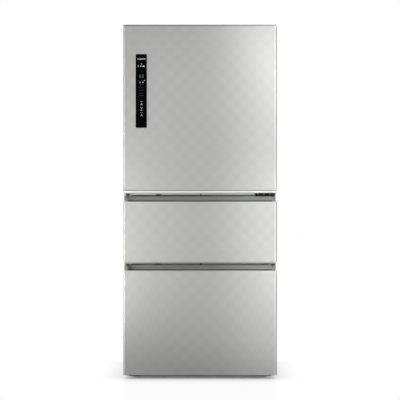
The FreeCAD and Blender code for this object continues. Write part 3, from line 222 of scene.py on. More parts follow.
# Grains finer than 1.5 mm, and the paint's ripple, are drawn wider than they are, so that they show.
FINISHES = {
    "door_silver": precoated_silver_steel(),
    # Painted sheet: satin silver with a fine orange-peel ripple.
    "cabinet_silver": finish("satin_painted_steel", "#A9A9A7", "#AFAFAD", 6, 0.02, (0.4, 0.46),
                             {"Metallic": 0.45, "Specular IOR Level": 0.4}),
    "rear_sheet": galvanised_steel("galvanised_sheet", "#9EA2A4", "#B6B9BA"),
    "galvanised": galvanised_steel("galvanised_pressing", "#93979A", "#ABAEB0"),
    # Zinc-plated strip, drawn through rolls: bright, with faint lines along its length.
    "slide_steel": finish("zinc_plated_strip", "#A5A9AC", "#C3C6C8", 2, 0.01, (0.28, 0.36),
                          {"Metallic": 1.0}, (1, 0.03, 1)),
    # Zinc-plated screws: bright and slightly cloudy.
    "screw_steel": finish("zinc_plated_screw", "#AEB1B3", "#CCCED0", 1.5, 0.01, (0.25, 0.35),
                          {"Metallic": 1.0}),
    # Rigid foam: pale yellow, matt, with open cells a few millimetres across.
    "insulation": finish("foamed_polyurethane", "#D9C27E", "#EBDCA8", 4, 1.0, None, {"Roughness": 0.95},
                         texture=OPEN_CELLS),
    # Vacuum-formed polystyrene: bright white and glossy, with a slow ripple left by the forming.
    "liner_white": finish("formed_white_polystyrene", "#E6E9EA", "#EEF0F0", 35, 0.05, (0.22, 0.3),
                          {"IOR": 1.59}),
    # Moulded ABS: white with a fine spark-eroded grain.
    "duct_white": finish("moulded_white_abs", "#DCE0E1", "#E8EBEB", 1.5, 0.02, (0.4, 0.5), {"IOR": 1.54}),
    # Moulded polypropylene: dark grey and matt.
    "plinth_black": finish("moulded_dark_polypropylene", "#3B3C3C", "#454646", 2, 0.03, (0.5, 0.62),
                           {"IOR": 1.49}),
    # Powder-coated steel: black with a close pebble.
    "hinge_black": finish("black_powder_coat", "#060607", "#0B0B0C", 1.5, 0.03, (0.5, 0.62),
                          {"IOR": 1.5, "Specular IOR Level": 0.25}),
    # Moulded ABS: dark grey with a fine grain.
    "hinge_cover_grey": finish("moulded_dark_grey_abs", "#5C5D5D", "#646565", 1.5, 0.02, (0.42, 0.52),
                               {"IOR": 1.54}),
    # Anodised aluminium strip: pale silver, brushed along its length.
    "trim_bright": finish("brushed_anodised_aluminium", "#DADAD8", "#EEEEEC", 1.2, 0.01, (0.26, 0.36),
                          {"Metallic": 0.7}, (0.02, 1, 1)),
    # Moulded ABS: mid grey with a fine grain.
    "grip_grey": finish("moulded_grey_abs", "#828280", "#8A8A88", 1.5, 0.02, (0.42, 0.52),
                        {"IOR": 1.54, "Specular IOR Level": 0.2}),
    # Soft PVC: matt pale grey, a little chalky.
    "gasket_grey": finish("extruded_soft_pvc", "#A4A7A9", "#B2B5B6", 8, 0.05, (0.6, 0.75), {"IOR": 1.53}),
    # Printed glass: deep black, mirror smooth, with faint finger marks 25 mm across.
    "panel_glass": finish("black_printed_glass", "#020203", "#040405", 25, 0.0, (0.03, 0.09),
                          {"IOR": 1.52, "Specular IOR Level": 0.02}),
    # Glass-epoxy board under green solder mask: the copper runs show as lighter lines 3 mm apart.
    "board_green": finish("printed_circuit", "#12492B", "#2C7A4B", 12, 0, None, {"Roughness": 0.35},
                          texture=COPPER_RUNS),
    # Acetal: waxy white, turned smooth.
    "bush_white": finish("turned_acetal", "#DEDEDA", "#EAEAE6", 4, 0.01, (0.3, 0.4), {"IOR": 1.48}),
    "shelf_glass": clear_finish("polished_toughened_glass", "#E4F1EB", (0.0, 0.04), 1.52),
    "clear_plastic": clear_finish("moulded_clear_polystyrene", "#E9F1F4", (0.05, 0.16), 1.59),
    # Opal acrylic: milky white that spreads the light behind it.
    "light_lens": finish("opal_acrylic", "#F1F3F2", "#FAFBFA", 10, 0.02, (0.35, 0.45),
                         {"IOR": 1.49, "Emission Color": (1, 1, 1, 1), "Emission Strength": 0.15}),
    # Rolled aluminium foil fins: bright, with the rolling lines along their height.
    "fin_aluminium": finish("rolled_aluminium", "#B9BCBE", "#D2D4D5", 2, 0.01, (0.3, 0.42),
                            {"Metallic": 1.0}, (1, 1, 0.05)),
    # Moulded nylon, with glass fibre or without: dark and satin, with a slight grain.
    "fan_plastic": finish("moulded_glass_nylon", "#33363A", "#42454A", 3, 0.03, (0.45, 0.55), {"IOR": 1.53}),
    "motor_black": finish("moulded_black_nylon", "#17181A", "#222326", 2, 0.03, (0.45, 0.6), {"IOR": 1.53}),
    # Stove enamel over drawn steel: glossy black with a slow ripple.
    "compressor_black": finish("stoved_black_enamel", "#0E0F10", "#17181A", 14, 0.08, (0.22, 0.34),
                               {"IOR": 1.5}),
    # Moulded polypropylene: matt and slightly waxy, grey in the drain pan and black on the feet.
    "tray_grey": finish("moulded_grey_polypropylene", "#86898B", "#929597", 3, 0.04, (0.5, 0.6),
                        {"IOR": 1.49}),
    "foot_black": finish("moulded_foot_polypropylene", "#18191A", "#232425", 2, 0.04, (0.5, 0.65),
                         {"IOR": 1.49}),
    # Turned nylon: mid grey with a satin face.
    "roller_grey": finish("turned_grey_nylon", "#6F7173", "#7E8082", 3, 0.03, (0.4, 0.5), {"IOR": 1.53}),
}
# Moulded ABS, pale grey: the pull, which stands out from the darker grips.
pale_grey_abs = finish("moulded_pale_grey_abs", "#AAAAA8", "#B2B2B0", 1.5, 0.02, (0.42, 0.52), {"IOR": 1.54})
# Moulded ABS, light mid grey: the cap under the middle drawer's front.
light_grey_abs = finish("moulded_light_grey_abs", "#929290", "#9A9A98", 1.5, 0.02, (0.42, 0.52),
                        {"IOR": 1.54})
# Vacuum-formed polystyrene, darkened: a copy of the white liner for the doors' inner sides, which come out
# into the full light; the darkening is painted shade.
shaded_white_polystyrene = finish("formed_white_polystyrene_painted_shade", "#B4B7B8", "#BCBFC0", 35, 0.05,
                                (0.3, 0.38), {"IOR": 1.59})
# Dark grey sheet: on the rails behind the gaps it is painted shade, for the shade inside the gaps; on the
# top hinge it is the hinge's own dark paint.
dark_steel_and_gap_shade = finish("dark_steel_and_gap_shade", "#666766", "#6D6E6D", 6, 0.02, (0.45, 0.55), {"IOR": 1.5})
# Soft PVC, dark grey: the strips along the feet of the grips, which stand for the shade at the foot of each
# groove (painted shade).
grip_foot_shade_pvc = finish("extruded_pvc_painted_shade", "#5A5B5A", "#636463", 6, 0.05, (0.6, 0.75), {"IOR": 1.53})
# Moulded rubber, dead black: the stops, the block for the shade beyond the pull's end, and the fill in the
# seam, the last two painted shade.
black_rubber_and_shade = finish("black_rubber_and_painted_shade", "#0B0B0B", "#131313", 2, 0.03, (0.7, 0.85), {"IOR": 1.52})
# Drawn copper tube: warm, slightly tarnished in patches 15 mm long.
copper_tube = finish("drawn_copper", "#A8623F", "#C9865F", 15, 0.01, (0.28, 0.42), {"Metallic": 1.0})


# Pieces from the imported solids

MERGE_GAP = 1e-6
FLAT_ANGLE = 0.5  # degrees under which neighbouring triangles are one face
EDGE_ANGLE = 35  # degrees over which an edge is rolled
EDGE_STEPS = 2


def slotted(piece, slot, body, *stood_for):
    """Puts a finished piece on its body, in place of the solids it stands for. The slot is not used."""
    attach(piece, body)
    if stood_for:
        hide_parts(*stood_for)
    return piece


def new_piece(name, bm, material, smooth=32):
    """An object from a finished bmesh, smooth except across edges sharper than the angle in degrees."""
    mesh = bpy.data.meshes.new(name)
    bm.to_mesh(mesh)
    bm.free()
    mesh.materials.append(material)
    mesh.shade_smooth()
    mesh.set_sharp_from_angle(angle=radians(smooth))
    piece = bpy.data.objects.new(name, mesh)
    scene.collection.objects.link(piece)
    return piece


def closed_piece(name, bm, material, smooth=32):
    """A new piece from closed shapes that were drawn here, with their faces turned outwards."""
    bmesh.ops.recalc_face_normals(bm, faces=bm.faces)
    return new_piece(name, bm, material, smooth)


def bridge(bm, first, second):
    """The faces between two closed rings of points."""
    count = len(first)
    return [bm.faces.new((first[n], first[(n + 1) % count], second[(n + 1) % count], second[n]))
            for n in range(count)]


def prism(bm, outline, ends, along="y"):
    """A closed prism along X or Y, its outline in the other two axes; returns its faces, ends first."""
    rings = [[bm.verts.new((a, end, b) if along == "y" else (end, a, b)) for a, b in outline]
             for end in ends]
    return [bm.faces.new(ring) for ring in rings] + bridge(bm, *rings)


def merged(node):
    """The node's triangles as one closed skin with whole faces."""
    bm = bmesh.new()
    bm.from_mesh(parts[node].data)
    bmesh.ops.remove_doubles(bm, verts=bm.verts, dist=MERGE_GAP)
    bmesh.ops.dissolve_limit(bm, angle_limit=radians(FLAT_ANGLE), verts=bm.verts, edges=bm.edges)
    bmesh.ops.triangulate(bm, faces=[face for face in bm.faces if len(face.verts) > 4])
    return bm


def roll_edges(piece, width_mm):
    """Rounds the sharp edges to that width."""
    rolled = piece.modifiers.new("rolled_edges", "BEVEL")
    rolled.width = width_mm * MM
    rolled.segments = EDGE_STEPS
    rolled.limit_method = "ANGLE"
    rolled.angle_limit = radians(EDGE_ANGLE)
    flats = piece.modifiers.new("flat_faces_first", "WEIGHTED_NORMAL")
    flats.keep_sharp = True


OWN_FINISH = {
    "upper_door_pull": pale_grey_abs, "middle_drawer_cap": light_grey_abs,
    # The rails behind the gaps take a dark finish that is painted shade.
    "cross_rails": dark_steel_and_gap_shade, "top_hinge": dark_steel_and_gap_shade,
    # The door and drawer liners take a darker copy of the white polystyrene: painted shade.
    "upper_door_liner": shaded_white_polystyrene, "middle_drawer_liner": shaded_white_polystyrene,
    "lower_drawer_liner": shaded_white_polystyrene,
}
# The radius in millimetres that each pressed, moulded or ground edge has.
EDGES = {
    "cabinet_shell": 0.4, "back_panel": 0.4, "base_pan": 0.4, "cross_rails": 0.4,
    "kick_plate": 0.8, "machine_cover": 0.5, "top_hinge": 0.8, "top_hinge_cover": 1.6,
    "middle_hinge": 0.9, "fridge_duct_cover": 0.7, "fridge_light": 1.5, "shelf_trims": 0.8,
    "glass_shelves": 0.7, "freezer_duct_cover": 0.7, "evaporator_fan_motor": 0.8,
    "compressor": 1.0, "drain_pan": 0.7, "outer_rails": 0.3, "evaporator_fan": 0.5,
    "upper_door_skin": 0.3, "upper_door_top_cap": 0.8, "upper_door_bottom_trim": 0.6,
    "upper_door_pull": 0.8, "upper_door_liner": 0.9, "control_panel": 0.6,
    "door_bin_bottom": 0.8, "door_bin_middle": 0.8, "door_bin_top": 0.8,
    "middle_drawer_skin": 0.3, "middle_drawer_grip": 0.6, "middle_drawer_cap": 0.8,
    "middle_drawer_liner": 0.9, "middle_basket": 0.8, "middle_rail_inner": 0.3,
    "middle_rail_mid": 0.3, "lower_drawer_skin": 0.3, "lower_drawer_grip": 0.6,
    "lower_drawer_liner": 0.9, "lower_basket": 0.8, "lower_tray": 0.8, "lower_rail_inner": 0.3,
    "lower_rail_mid": 0.3, "left_front_foot": 0.6, "right_front_foot": 0.6,
    "left_rear_roller": 0.6, "right_rear_roller": 0.6,
}
for node, width in EDGES.items():
    softened = new_piece(node + "_finished", merged(node), OWN_FINISH.get(node, FINISHES[slot_of[node]]))
    roll_edges(softened, width)
    slotted(softened, slot_of[node], parts[node]["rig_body"], node)

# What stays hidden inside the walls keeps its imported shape.
for node in ("cabinet_foam", "upper_door_foam", "middle_drawer_foam", "lower_drawer_foam",
             "control_board", "upper_door_bushes"):
    parts[node].data.materials.clear()
    parts[node].data.materials.append(FINISHES[slot_of[node]])


# Liners: formed rooms with rounded corners, each with a lip turned out behind the gasket

LINER_WALL = 2.5 * MM
LINER_ROUND = 14 * MM
LINER_STEPS = 5
LIP_ROUND = 1.0
room_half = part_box("outer_rails")[1].x
liner_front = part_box("fridge_liner")[0].y
room_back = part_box("fridge_liner")[1].y - LINER_WALL
step_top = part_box("evaporator")[0].z
step_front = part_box("freezer_duct_cover")[0].y - LINER_WALL


def liner_room(node, profile):
    """A formed room: its side profile, front edge first, carried across the width and rounded inside."""
    bm = bmesh.new()
    mouth = prism(bm, profile, (-room_half, room_half), along="x")[2]
    bmesh.ops.recalc_face_normals(bm, faces=bm.faces)
    rounded = [edge for edge in bm.edges if mouth not in edge.link_faces]
    bmesh.ops.bevel(bm, geom=rounded, offset=LINER_ROUND, segments=LINER_STEPS, profile=0.5, affect="EDGES")
    lids = [face for face in bm.faces if all(abs(v.co.y - liner_front) < MERGE_GAP for v in face.verts)]
    bmesh.ops.delete(bm, geom=lids, context="FACES_ONLY")
    bmesh.ops.reverse_faces(bm, faces=bm.faces)
    piece = new_piece(node + "_finished", bm, FINISHES["liner_white"], smooth=40)
    wall = piece.modifiers.new("wall", "SOLIDIFY")
    wall.thickness = LINER_WALL
    wall.offset = -1
    slotted(piece, "liner_white", "cabinet", node)


def mouth_flange(node, bottom, ceiling):
    """The liner's lip round its mouth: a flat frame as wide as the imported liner."""
    low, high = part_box(node)
    bm = bmesh.new()
    rings = []
    for x0, z0, x1, z1 in ((low.x, low.z, high.x, high.z), (-room_half, bottom, room_half, ceiling)):
        for y in (low.y, low.y + LINER_WALL):
            rings.append([bm.verts.new(corner) for corner in (
                (x0, y, z0), (x1, y, z0), (x1, y, z1), (x0, y, z1))])
    outer_front, outer_back, inner_front, inner_back = rings
    for first, second in ((outer_front, inner_front), (outer_back, inner_back),
                          (outer_front, outer_back), (inner_front, inner_back)):
        bridge(bm, first, second)
    piece = closed_piece(node + "_flange", bm, FINISHES["liner_white"])
    roll_edges(piece, LIP_ROUND)
    slotted(piece, "liner_white", "cabinet")


for node in ("fridge_liner", "middle_liner", "freezer_liner"):
    low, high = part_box(node)
    bottom = low.z + LINER_WALL
    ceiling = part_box("fridge_light")[1].z if node == "fridge_liner" else high.z - LINER_WALL
    rear = [(room_back, ceiling), (room_back, bottom)]
    if node == "freezer_liner":
        rear[1:] = [(room_back, step_top), (step_front, step_top), (step_front, bottom)]
    liner_room(node, [(liner_front, bottom), (liner_front, ceiling)] + rear)
    mouth_flange(node, bottom, ceiling)


# Gaskets: an extruded profile with two folds and a magnet pocket, mitred at its corners

# Across from the outer edge and out from the door, in millimetres.
GASKET_PROFILE = ((5, 0), (5, 1.6), (1.2, 2.6), (0.3, 4.2), (2.2, 5.4), (0.6, 6.6), (1.4, 8),
                  (16.6, 8), (17.4, 6.6), (15.8, 5.4), (17.7, 4.2), (16.8, 2.6), (13, 1.6), (13, 0))

for node in ("upper_door_gasket", "middle_drawer_gasket", "lower_drawer_gasket"):
    low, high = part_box(node)
    bm = bmesh.new()
    rings = []
    for x, z, in_x, in_z in ((low.x, low.z, 1, 1), (high.x, low.z, -1, 1),
                             (high.x, high.z, -1, -1), (low.x, high.z, 1, -1)):
        rings.append([bm.verts.new((x + in_x * across * MM, low.y + out * MM, z + in_z * across * MM))
                      for across, out in GASKET_PROFILE])
    for first, second in zip(rings, rings[1:] + rings[:1]):
        bridge(bm, first, second)
    gasket = closed_piece(node + "_finished", bm, FINISHES["gasket_grey"], smooth=70)
    slotted(gasket, "gasket_grey", parts[node]["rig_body"], node)


# Control panel: generic marks, keys, a two-digit display and a green lamp, raised on the glass

MARK_RAISE = 0.15 * MM
PRINT_SHIFT = 1.2 * MM  # the print sits a little right of the glass's middle
BAR_CLIP = 0.3  # how much of a bar's width or height, whichever is less, its corners lose
BAR_CORNERS = ((-1, -1, 1, 0), (1, -1, 1, 0), (1, -1, 0, 1), (1, 1, 0, 1),
               (1, 1, 1, 0), (-1, 1, 1, 0), (-1, 1, 0, 1), (-1, -1, 0, 1))
DISC_STEPS = 16
FIGURE_WIDTH, FIGURE_HEIGHT, FIGURE_STROKE = 9.5, 17, 2.2
panel_low, panel_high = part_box("control_panel")
print_middle = (panel_low.x + panel_high.x) / 2 + PRINT_SHIFT


def bar(width, height):
    """A bar with clipped corners, about its own middle."""
    clip = min(width, height) * BAR_CLIP
    return [(sx * (width / 2 - cx * clip), sz * (height / 2 - cz * clip)) for sx, sz, cx, cz in BAR_CORNERS]


def arrow(width, height):
    """A triangle that points down, or up where the height is negative."""
    return [(-width / 2, -height / 2), (width / 2, -height / 2), (0, height / 2)]


def disc(width, height):
    """An oval."""
    turns = [n * tau / DISC_STEPS for n in range(DISC_STEPS)]
    return [(cos(turn) * width / 2, sin(turn) * height / 2) for turn in turns]


def figure_eight(across, down):
    """The seven bars of a figure, as an unlit display shows them."""
    stroke = FIGURE_STROKE
    level_bars = [(bar, across, down + row * (FIGURE_HEIGHT - stroke) / 2, FIGURE_WIDTH - 2 * stroke, stroke)
                  for row in (-1, 0, 1)]
    upright_bars = [(bar, across + side * (FIGURE_WIDTH - stroke) / 2, down + row * FIGURE_HEIGHT / 4,
                     stroke, FIGURE_HEIGHT / 2 - stroke) for side in (-1, 1) for row in (-1, 1)]
    return level_bars + upright_bars


# Each mark: its outline, across from the print's middle, down from the glass's top, width and height, in mm.
PANEL_PRINT = (
    ("panel_grey_marks", glowing("backlit_grey_mark", "#B4B8BA", "#D2D5D6", 0.6),
     [(bar, -18 + n * 6, 25.5, 4.2, 3.4) for n in range(7)]
     + [(bar, -15.5, 63.3, 4.5, 4), (bar, -4.5, 63.3, 4.5, 4), (bar, 10.5, 63.3, 10, 4),
        (bar, 15, 137.5, 6, 3), (bar, -7.5, 148, 6, 2.8), (bar, 7.5, 148, 6, 2.8)]),
    # The unlit marks and the unlit display's figures glow faintly all the same: painted light.
    ("panel_dim_marks", glowing("unlit_grey_mark_painted_glow", "#141516", "#1B1D1E", 0.3),
     [(disc, 0, 88, 3, 5), (bar, -14, 137.5, 6, 3), (bar, 0, 137.5, 6, 3),
      (bar, -5, 161, 8, 2.4), (bar, 8, 161, 8, 2.4)]
     + [(bar, -1, down, 23, 2) for down in (176, 189.5, 204, 216)]),
    ("panel_display", glowing("unlit_display_painted_glow", "#3A3C3D", "#454748", 0.4),
     figure_eight(-7.2, 115.5) + figure_eight(6.4, 115.5)),
    ("panel_keys", glowing("half_lit_grey_mark", "#8E9294", "#A6AAAC", 0.55),
     [(arrow, 0, 257.5, 4.4, -6), (arrow, 0, 284.5, 4.4, 6), (arrow, 0, 313.5, 4.4, -6),
      (bar, 0, 247.8, 11.5, 1.5), (bar, 0, 263, 11.5, 2.2), (bar, 0, 292.5, 11.5, 2),
      (bar, 0, 320.5, 11.5, 1.8), (bar, -4, 278.5, 4, 1.5), (bar, 4, 278.5, 4, 1.5),
      (bar, -4, 305.5, 4, 1.5), (bar, 4, 305.5, 4, 1.5)]),
    ("panel_green_lamp", glowing("green_indicator", "#0B5636", "#2B8A66", 0.5),
     [(disc, -0.4, 51.5, 7.5, 9)]),
)
for name, material, marks in PANEL_PRINT:
    bm = bmesh.new()
    for outline, across, down, width, height in marks:
        prism(bm, [(print_middle + (across + x) * MM, panel_high.z - (down + z) * MM)
                   for x, z in outline(width, height)], (panel_low.y, panel_low.y - MARK_RAISE))
    slotted(closed_piece(name, bm, material, smooth=20), "panel_glass", "upper_door")


# Rubber stops that show in the two gaps between the doors, and at the pull's left end a dark block that is
# painted shade

STOP_DEPTH = 16 * MM
STOP_STEPS = 12
LENS, BLOCK = 2, 8  # how square a stop's lower edge is
LENS_RISE = 3 * MM  # how far a lens-shaped stop bulges up over the door's lower edge
pull_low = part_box("upper_door_pull")[0]
cap_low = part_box("middle_drawer_cap")[0]
# Each stop: its body, a corner, its front and top from there, place across, width and drop in mm, its edge.
STOPS = (
    ("door_stop_1", "upper_door", pull_low, -0.4, 0.5, -217, 36, 5, LENS),
    ("door_stop_2", "upper_door", pull_low, -0.4, 0.5, 5, 11, 5, LENS),
    ("door_stop_3", "middle_drawer", cap_low, -0.4, -1.2, -377, 18, 5, BLOCK),
    ("door_stop_4", "middle_drawer", cap_low, -0.4, -1.2, -221, 46, 4, LENS),
    ("door_stop_5", "middle_drawer", cap_low, -0.4, -1.2, 3, 12, 5, LENS),
    ("door_stop_6", "middle_drawer", cap_low, -0.4, -1.2, 382, 20, 5, BLOCK),
    # The last row is no stop: a dark block for the shade in the opening beyond the pull's end, painted
    # shade.
    ("pull_end_shade_block", "upper_door", pull_low, 1, 5.5, -377, 22, 11, BLOCK),
)
for name, body, corner, front, top, across, width, drop, squareness in STOPS:
    shares = [n / STOP_STEPS * 2 - 1 for n in range(1, STOP_STEPS)]
    half = width / 2 * MM
    outline = [(-half, 0)]
    if squareness == LENS:
        outline += [(half * share, LENS_RISE * (1 - share ** 2)) for share in shares]
    outline.append((half, 0))
    outline += [(-half * share, -drop * MM * (1 - abs(share) ** squareness)) for share in shares]
    bm = bmesh.new()
    stop_front = corner.y + front * MM
    prism(bm, [(across * MM + x, corner.z + top * MM + z) for x, z in outline],
          (stop_front, stop_front + STOP_DEPTH))
    slotted(closed_piece(name, bm, black_rubber_and_shade), "foot_black", body)


# Dark strips that stand for shade (painted shade): one filling the seam over the bright trim, one along the
# foot of each drawer grip

SEAM_HEIGHT = 3.5 * MM
SEAM_BACK = 20 * MM  # how far back from the front the seam is filled
NECK_HEIGHT = 1 * MM
NECK_DEPTH = 2 * MM
STRIP_FIT = 0.1 * MM
LEAN = 0.1  # the most that an upright face's normal points up or down
GRIP_RISE = 27 * MM
GRIP_WALL = door_front + 44.2 * MM
GRIP_END = 22 * MM
STRIP_DROP = 3 * MM
STRIP_PROUD = 2 * MM
STRIP_STEPS = 8

# A dark fill round the trim's narrow neck, flush with the door's front and its round corners: painted shade
# for the seam's shadow line.
neck_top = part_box("upper_door_bottom_trim")[1].z
bm = merged("upper_door_bottom_trim")
neck = [face for face in bm.faces if abs(face.normal.z) < LEAN
        and min(v.co.z for v in face.verts) > neck_top - SEAM_HEIGHT
        and min(v.co.y for v in face.verts) < door_front + SEAM_BACK]
bmesh.ops.delete(bm, geom=list(set(bm.faces) - set(neck)), context="FACES")
for vert in bm.verts:
    if vert.co.z < neck_top - NECK_HEIGHT:
        vert.co.z = neck_top - SEAM_HEIGHT
seam_shade = new_piece("seam_strip", bm, black_rubber_and_shade)
padded = seam_shade.modifiers.new("strip", "SOLIDIFY")
padded.thickness = NECK_DEPTH + STRIP_FIT
padded.offset = 1
slotted(seam_shade, "gasket_grey", "upper_door")

# A half-round dark strip along the bottom of each grip's back wall: painted shade where the groove's foot
# lies in shadow.
for node, tall in (("middle_drawer_grip", 11.5 * MM), ("lower_drawer_grip", 8.5 * MM)):
    low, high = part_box(node)
    foot = high.z - GRIP_RISE - STRIP_DROP
    turns = [n * pi / STRIP_STEPS for n in range(STRIP_STEPS + 1)]
    bm = bmesh.new()
    prism(bm, [(GRIP_WALL - STRIP_PROUD * sin(turn), foot + tall * (1 - cos(turn)) / 2) for turn in turns],
          (low.x + GRIP_END, high.x - GRIP_END), along="x")
    strip = closed_piece(node + "_strip", bm, grip_foot_shade_pvc)
    slotted(strip, "gasket_grey", parts[node]["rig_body"])


# Small repeated details, each grown by a geometry tree

ROD_SIDES, RING_SIDES, WIRE_SIDES, HEAD_SIDES, SHANK_SIDES = 10, 56, 8, 28, 16
# A screw head's crown, recess width and recess reach as shares of its radius, and its rim of its height.
CROWN_SHARE, RECESS_SHARE, REACH_SHARE, RIM_SHARE = 0.7, 0.28, 1.15, 0.45


def new_tree(name, **inputs):
    """An empty geometry tree, a way to add nodes to it, and its inputs, named by kind, to link from."""
    tree = bpy.data.node_groups.new(name, "GeometryNodeTree")
    for way in ("INPUT", "OUTPUT"):
        tree.interface.new_socket("Geometry", in_out=way, socket_type="NodeSocketGeometry")
    for kind, labels in {**inputs, "Material": ["Material"]}.items():
        for label in labels:
            tree.interface.new_socket(label, in_out="INPUT", socket_type="NodeSocket" + kind)
    add = partial(add_node, tree)
    return tree, add, add("NodeGroupInput").outputs


def end_tree(tree, add, given, shapes):
    """Turns the shapes to their axis and centre, if the tree has those inputs, and into one coated mesh."""
    if "Axis" in given:
        facing = add("FunctionNodeAlignRotationToVector", {"Vector": given["Axis"]}, axis="Z")
        shapes = add("GeometryNodeTransform", {
            "Geometry": shapes, "Translation": given["Centre"], "Rotation": facing})
    whole = add("GeometryNodeRealizeInstances", {"Geometry": shapes})
    coated = add("GeometryNodeSetMaterial", {"Geometry": whole, "Material": given["Material"]})
    add("NodeGroupOutput", {"Geometry": coated})
    return tree


def rib_rows_tree():
    """Straight ribs in rows: each a prism with that many sides, along an axis and filling the rib's size."""
    tree, add, given = new_tree("rib_rows", Int=["Sides", "Columns", "Rows"], Vector=[
        "Along", "Rib Size", "Start", "Column Step", "Row Step"])
    half_turn = add("ShaderNodeMath", {0: pi, 1: given["Sides"]}, operation="DIVIDE")
    flat_share = add("ShaderNodeMath", {0: half_turn}, operation="COSINE")
    radius = add("ShaderNodeMath", {0: 0.5, 1: flat_share}, operation="DIVIDE")
    rib = add("GeometryNodeMeshCylinder", {"Vertices": given["Sides"], "Radius": radius, "Depth": 1.0})
    level = add("FunctionNodeAxisAngleToRotation", {"Angle": half_turn})
    lying = add("FunctionNodeAlignRotationToVector", {"Vector": given["Along"]}, axis="Z")
    for change, value in (("Rotation", level), ("Rotation", lying), ("Scale", given["Rib Size"])):
        rib = add("GeometryNodeTransform", {"Geometry": rib, change: value})
    columns = add("GeometryNodeMeshLine", {
        "Count": given["Columns"], "Start Location": given["Start"], "Offset": given["Column Step"]})
    rows = add("GeometryNodeMeshLine", {"Count": given["Rows"], "Offset": given["Row Step"]})
    grid = add("GeometryNodeInstanceOnPoints", {"Points": rows, "Instance": columns})
    places = add("GeometryNodeRealizeInstances", {"Geometry": grid})
    ribs = add("GeometryNodeInstanceOnPoints", {"Points": places, "Instance": rib})
    return end_tree(tree, add, given, ribs)


def rim_ribs_tree():
    """Round ribs along a wheel's or a knob's rim."""
    tree, add, given = new_tree("rim_ribs", Int=["Count"], Vector=["Centre", "Axis"], Float=[
        "Rim Radius", "Rib Radius", "Rib Length"])
    rim = add("GeometryNodeCurvePrimitiveCircle", {
        "Resolution": given["Count"], "Radius": given["Rim Radius"]})
    rod = add("GeometryNodeMeshCylinder", {
        "Vertices": ROD_SIDES, "Radius": given["Rib Radius"], "Depth": given["Rib Length"]})
    ribs = add("GeometryNodeInstanceOnPoints", {"Points": rim, "Instance": rod})
    return end_tree(tree, add, given, ribs)


def wire_guard_tree():
    """A round wire guard: rings of growing radius, and spokes from the first to the last."""
    tree, add, given = new_tree("wire_guard", Int=["Rings", "Spokes"], Vector=["Centre", "Axis"], Float=[
        "Inner Radius", "Ring Step", "Wire Radius"])
    number = add("GeometryNodeInputIndex")
    ring = add("GeometryNodeCurvePrimitiveCircle", {"Resolution": RING_SIDES, "Radius": 1.0})
    last = add("ShaderNodeMath", {0: given["Rings"], 1: 1.0}, operation="SUBTRACT")
    radius, outer = [add("ShaderNodeMath", {
        0: count, 1: given["Ring Step"], 2: given["Inner Radius"]}, operation="MULTIPLY_ADD")
        for count in (number, last)]
    spots, hubs = [add("GeometryNodeMeshLine", {
        "Count": given[label], "Offset": (0, 0, 0)}) for label in ("Rings", "Spokes")]
    rings = add("GeometryNodeInstanceOnPoints", {"Points": spots, "Instance": ring, "Scale": radius})
    start, end = [add("ShaderNodeCombineXYZ", {"X": reach}) for reach in (given["Inner Radius"], outer)]
    spoke = add("GeometryNodeCurvePrimitiveLine", {"Start": start, "End": end})
    share = add("ShaderNodeMath", {0: tau, 1: given["Spokes"]}, operation="DIVIDE")
    angle = add("ShaderNodeMath", {0: number, 1: share}, operation="MULTIPLY")
    turn = add("FunctionNodeAxisAngleToRotation", {"Angle": angle})
    spokes = add("GeometryNodeInstanceOnPoints", {"Points": hubs, "Instance": spoke, "Rotation": turn})
    both = add("GeometryNodeJoinGeometry", {"Geometry": [rings, spokes]})
    paths = add("GeometryNodeRealizeInstances", {"Geometry": both})
    wire = add("GeometryNodeCurvePrimitiveCircle", {
        "Resolution": WIRE_SIDES, "Radius": given["Wire Radius"]})
    wires = add("GeometryNodeCurveToMesh", {"Curve": paths, "Profile Curve": wire, "Fill Caps": True})
    return end_tree(tree, add, given, wires)


def cross_screws_tree():
    """Pan-head screws with a cross recess, one on each start point, facing the way stored there."""
    tree, add, given = new_tree("cross_screws", Float=[
        "Head Radius", "Head Height", "Shank Radius", "Shank Length"])
    crown_radius, recess_width, recess_reach, rim_height, shank_drop = [
        add("ShaderNodeMath", {0: given[label], 1: share}, operation="MULTIPLY")
        for label, share in (("Head Radius", CROWN_SHARE), ("Head Radius", RECESS_SHARE),
                             ("Head Radius", REACH_SHARE), ("Head Height", RIM_SHARE),
                             ("Shank Length", -0.5))]
    half_rim = add("ShaderNodeMath", {0: rim_height, 1: 0.5}, operation="MULTIPLY")
    crown_height = add("ShaderNodeMath", {0: given["Head Height"], 1: rim_height}, operation="SUBTRACT")
    rim = add("GeometryNodeMeshCylinder", {
        "Vertices": HEAD_SIDES, "Radius": given["Head Radius"], "Depth": rim_height})
    crown = add("GeometryNodeMeshCone", {
        "Vertices": HEAD_SIDES, "Radius Top": crown_radius, "Radius Bottom": given["Head Radius"],
        "Depth": crown_height})
    shank = add("GeometryNodeMeshCylinder", {
        "Vertices": SHANK_SIDES, "Radius": given["Shank Radius"], "Depth": given["Shank Length"]})
    lifts = [(rim, half_rim), (crown, rim_height), (shank, shank_drop)]
    for wide, deep in ((recess_reach, recess_width), (recess_width, recess_reach)):
        size = add("ShaderNodeCombineXYZ", {"X": wide, "Y": deep, "Z": given["Head Height"]})
        lifts.append((add("GeometryNodeMeshCube", {"Size": size}), given["Head Height"]))
    lifted = []
    for shape, level in lifts:
        lift = add("ShaderNodeCombineXYZ", {"Z": level})
        lifted.append(add("GeometryNodeTransform", {"Geometry": shape, "Translation": lift}))
    rim, crown, shank, *recess = lifted
    cut = add("GeometryNodeMeshBoolean", {0: crown, 1: recess}, operation="DIFFERENCE")
    screw = add("GeometryNodeJoinGeometry", {"Geometry": [rim, cut, shank]})
    stored = add("GeometryNodeInputNamedAttribute", {"Name": "facing"}, data_type="FLOAT_VECTOR")
    facing = add("FunctionNodeAlignRotationToVector", {"Vector": stored}, axis="Z")
    screws = add("GeometryNodeInstanceOnPoints", {
        "Points": given["Geometry"], "Instance": screw, "Rotation": facing})
    return end_tree(tree, add, given, screws)


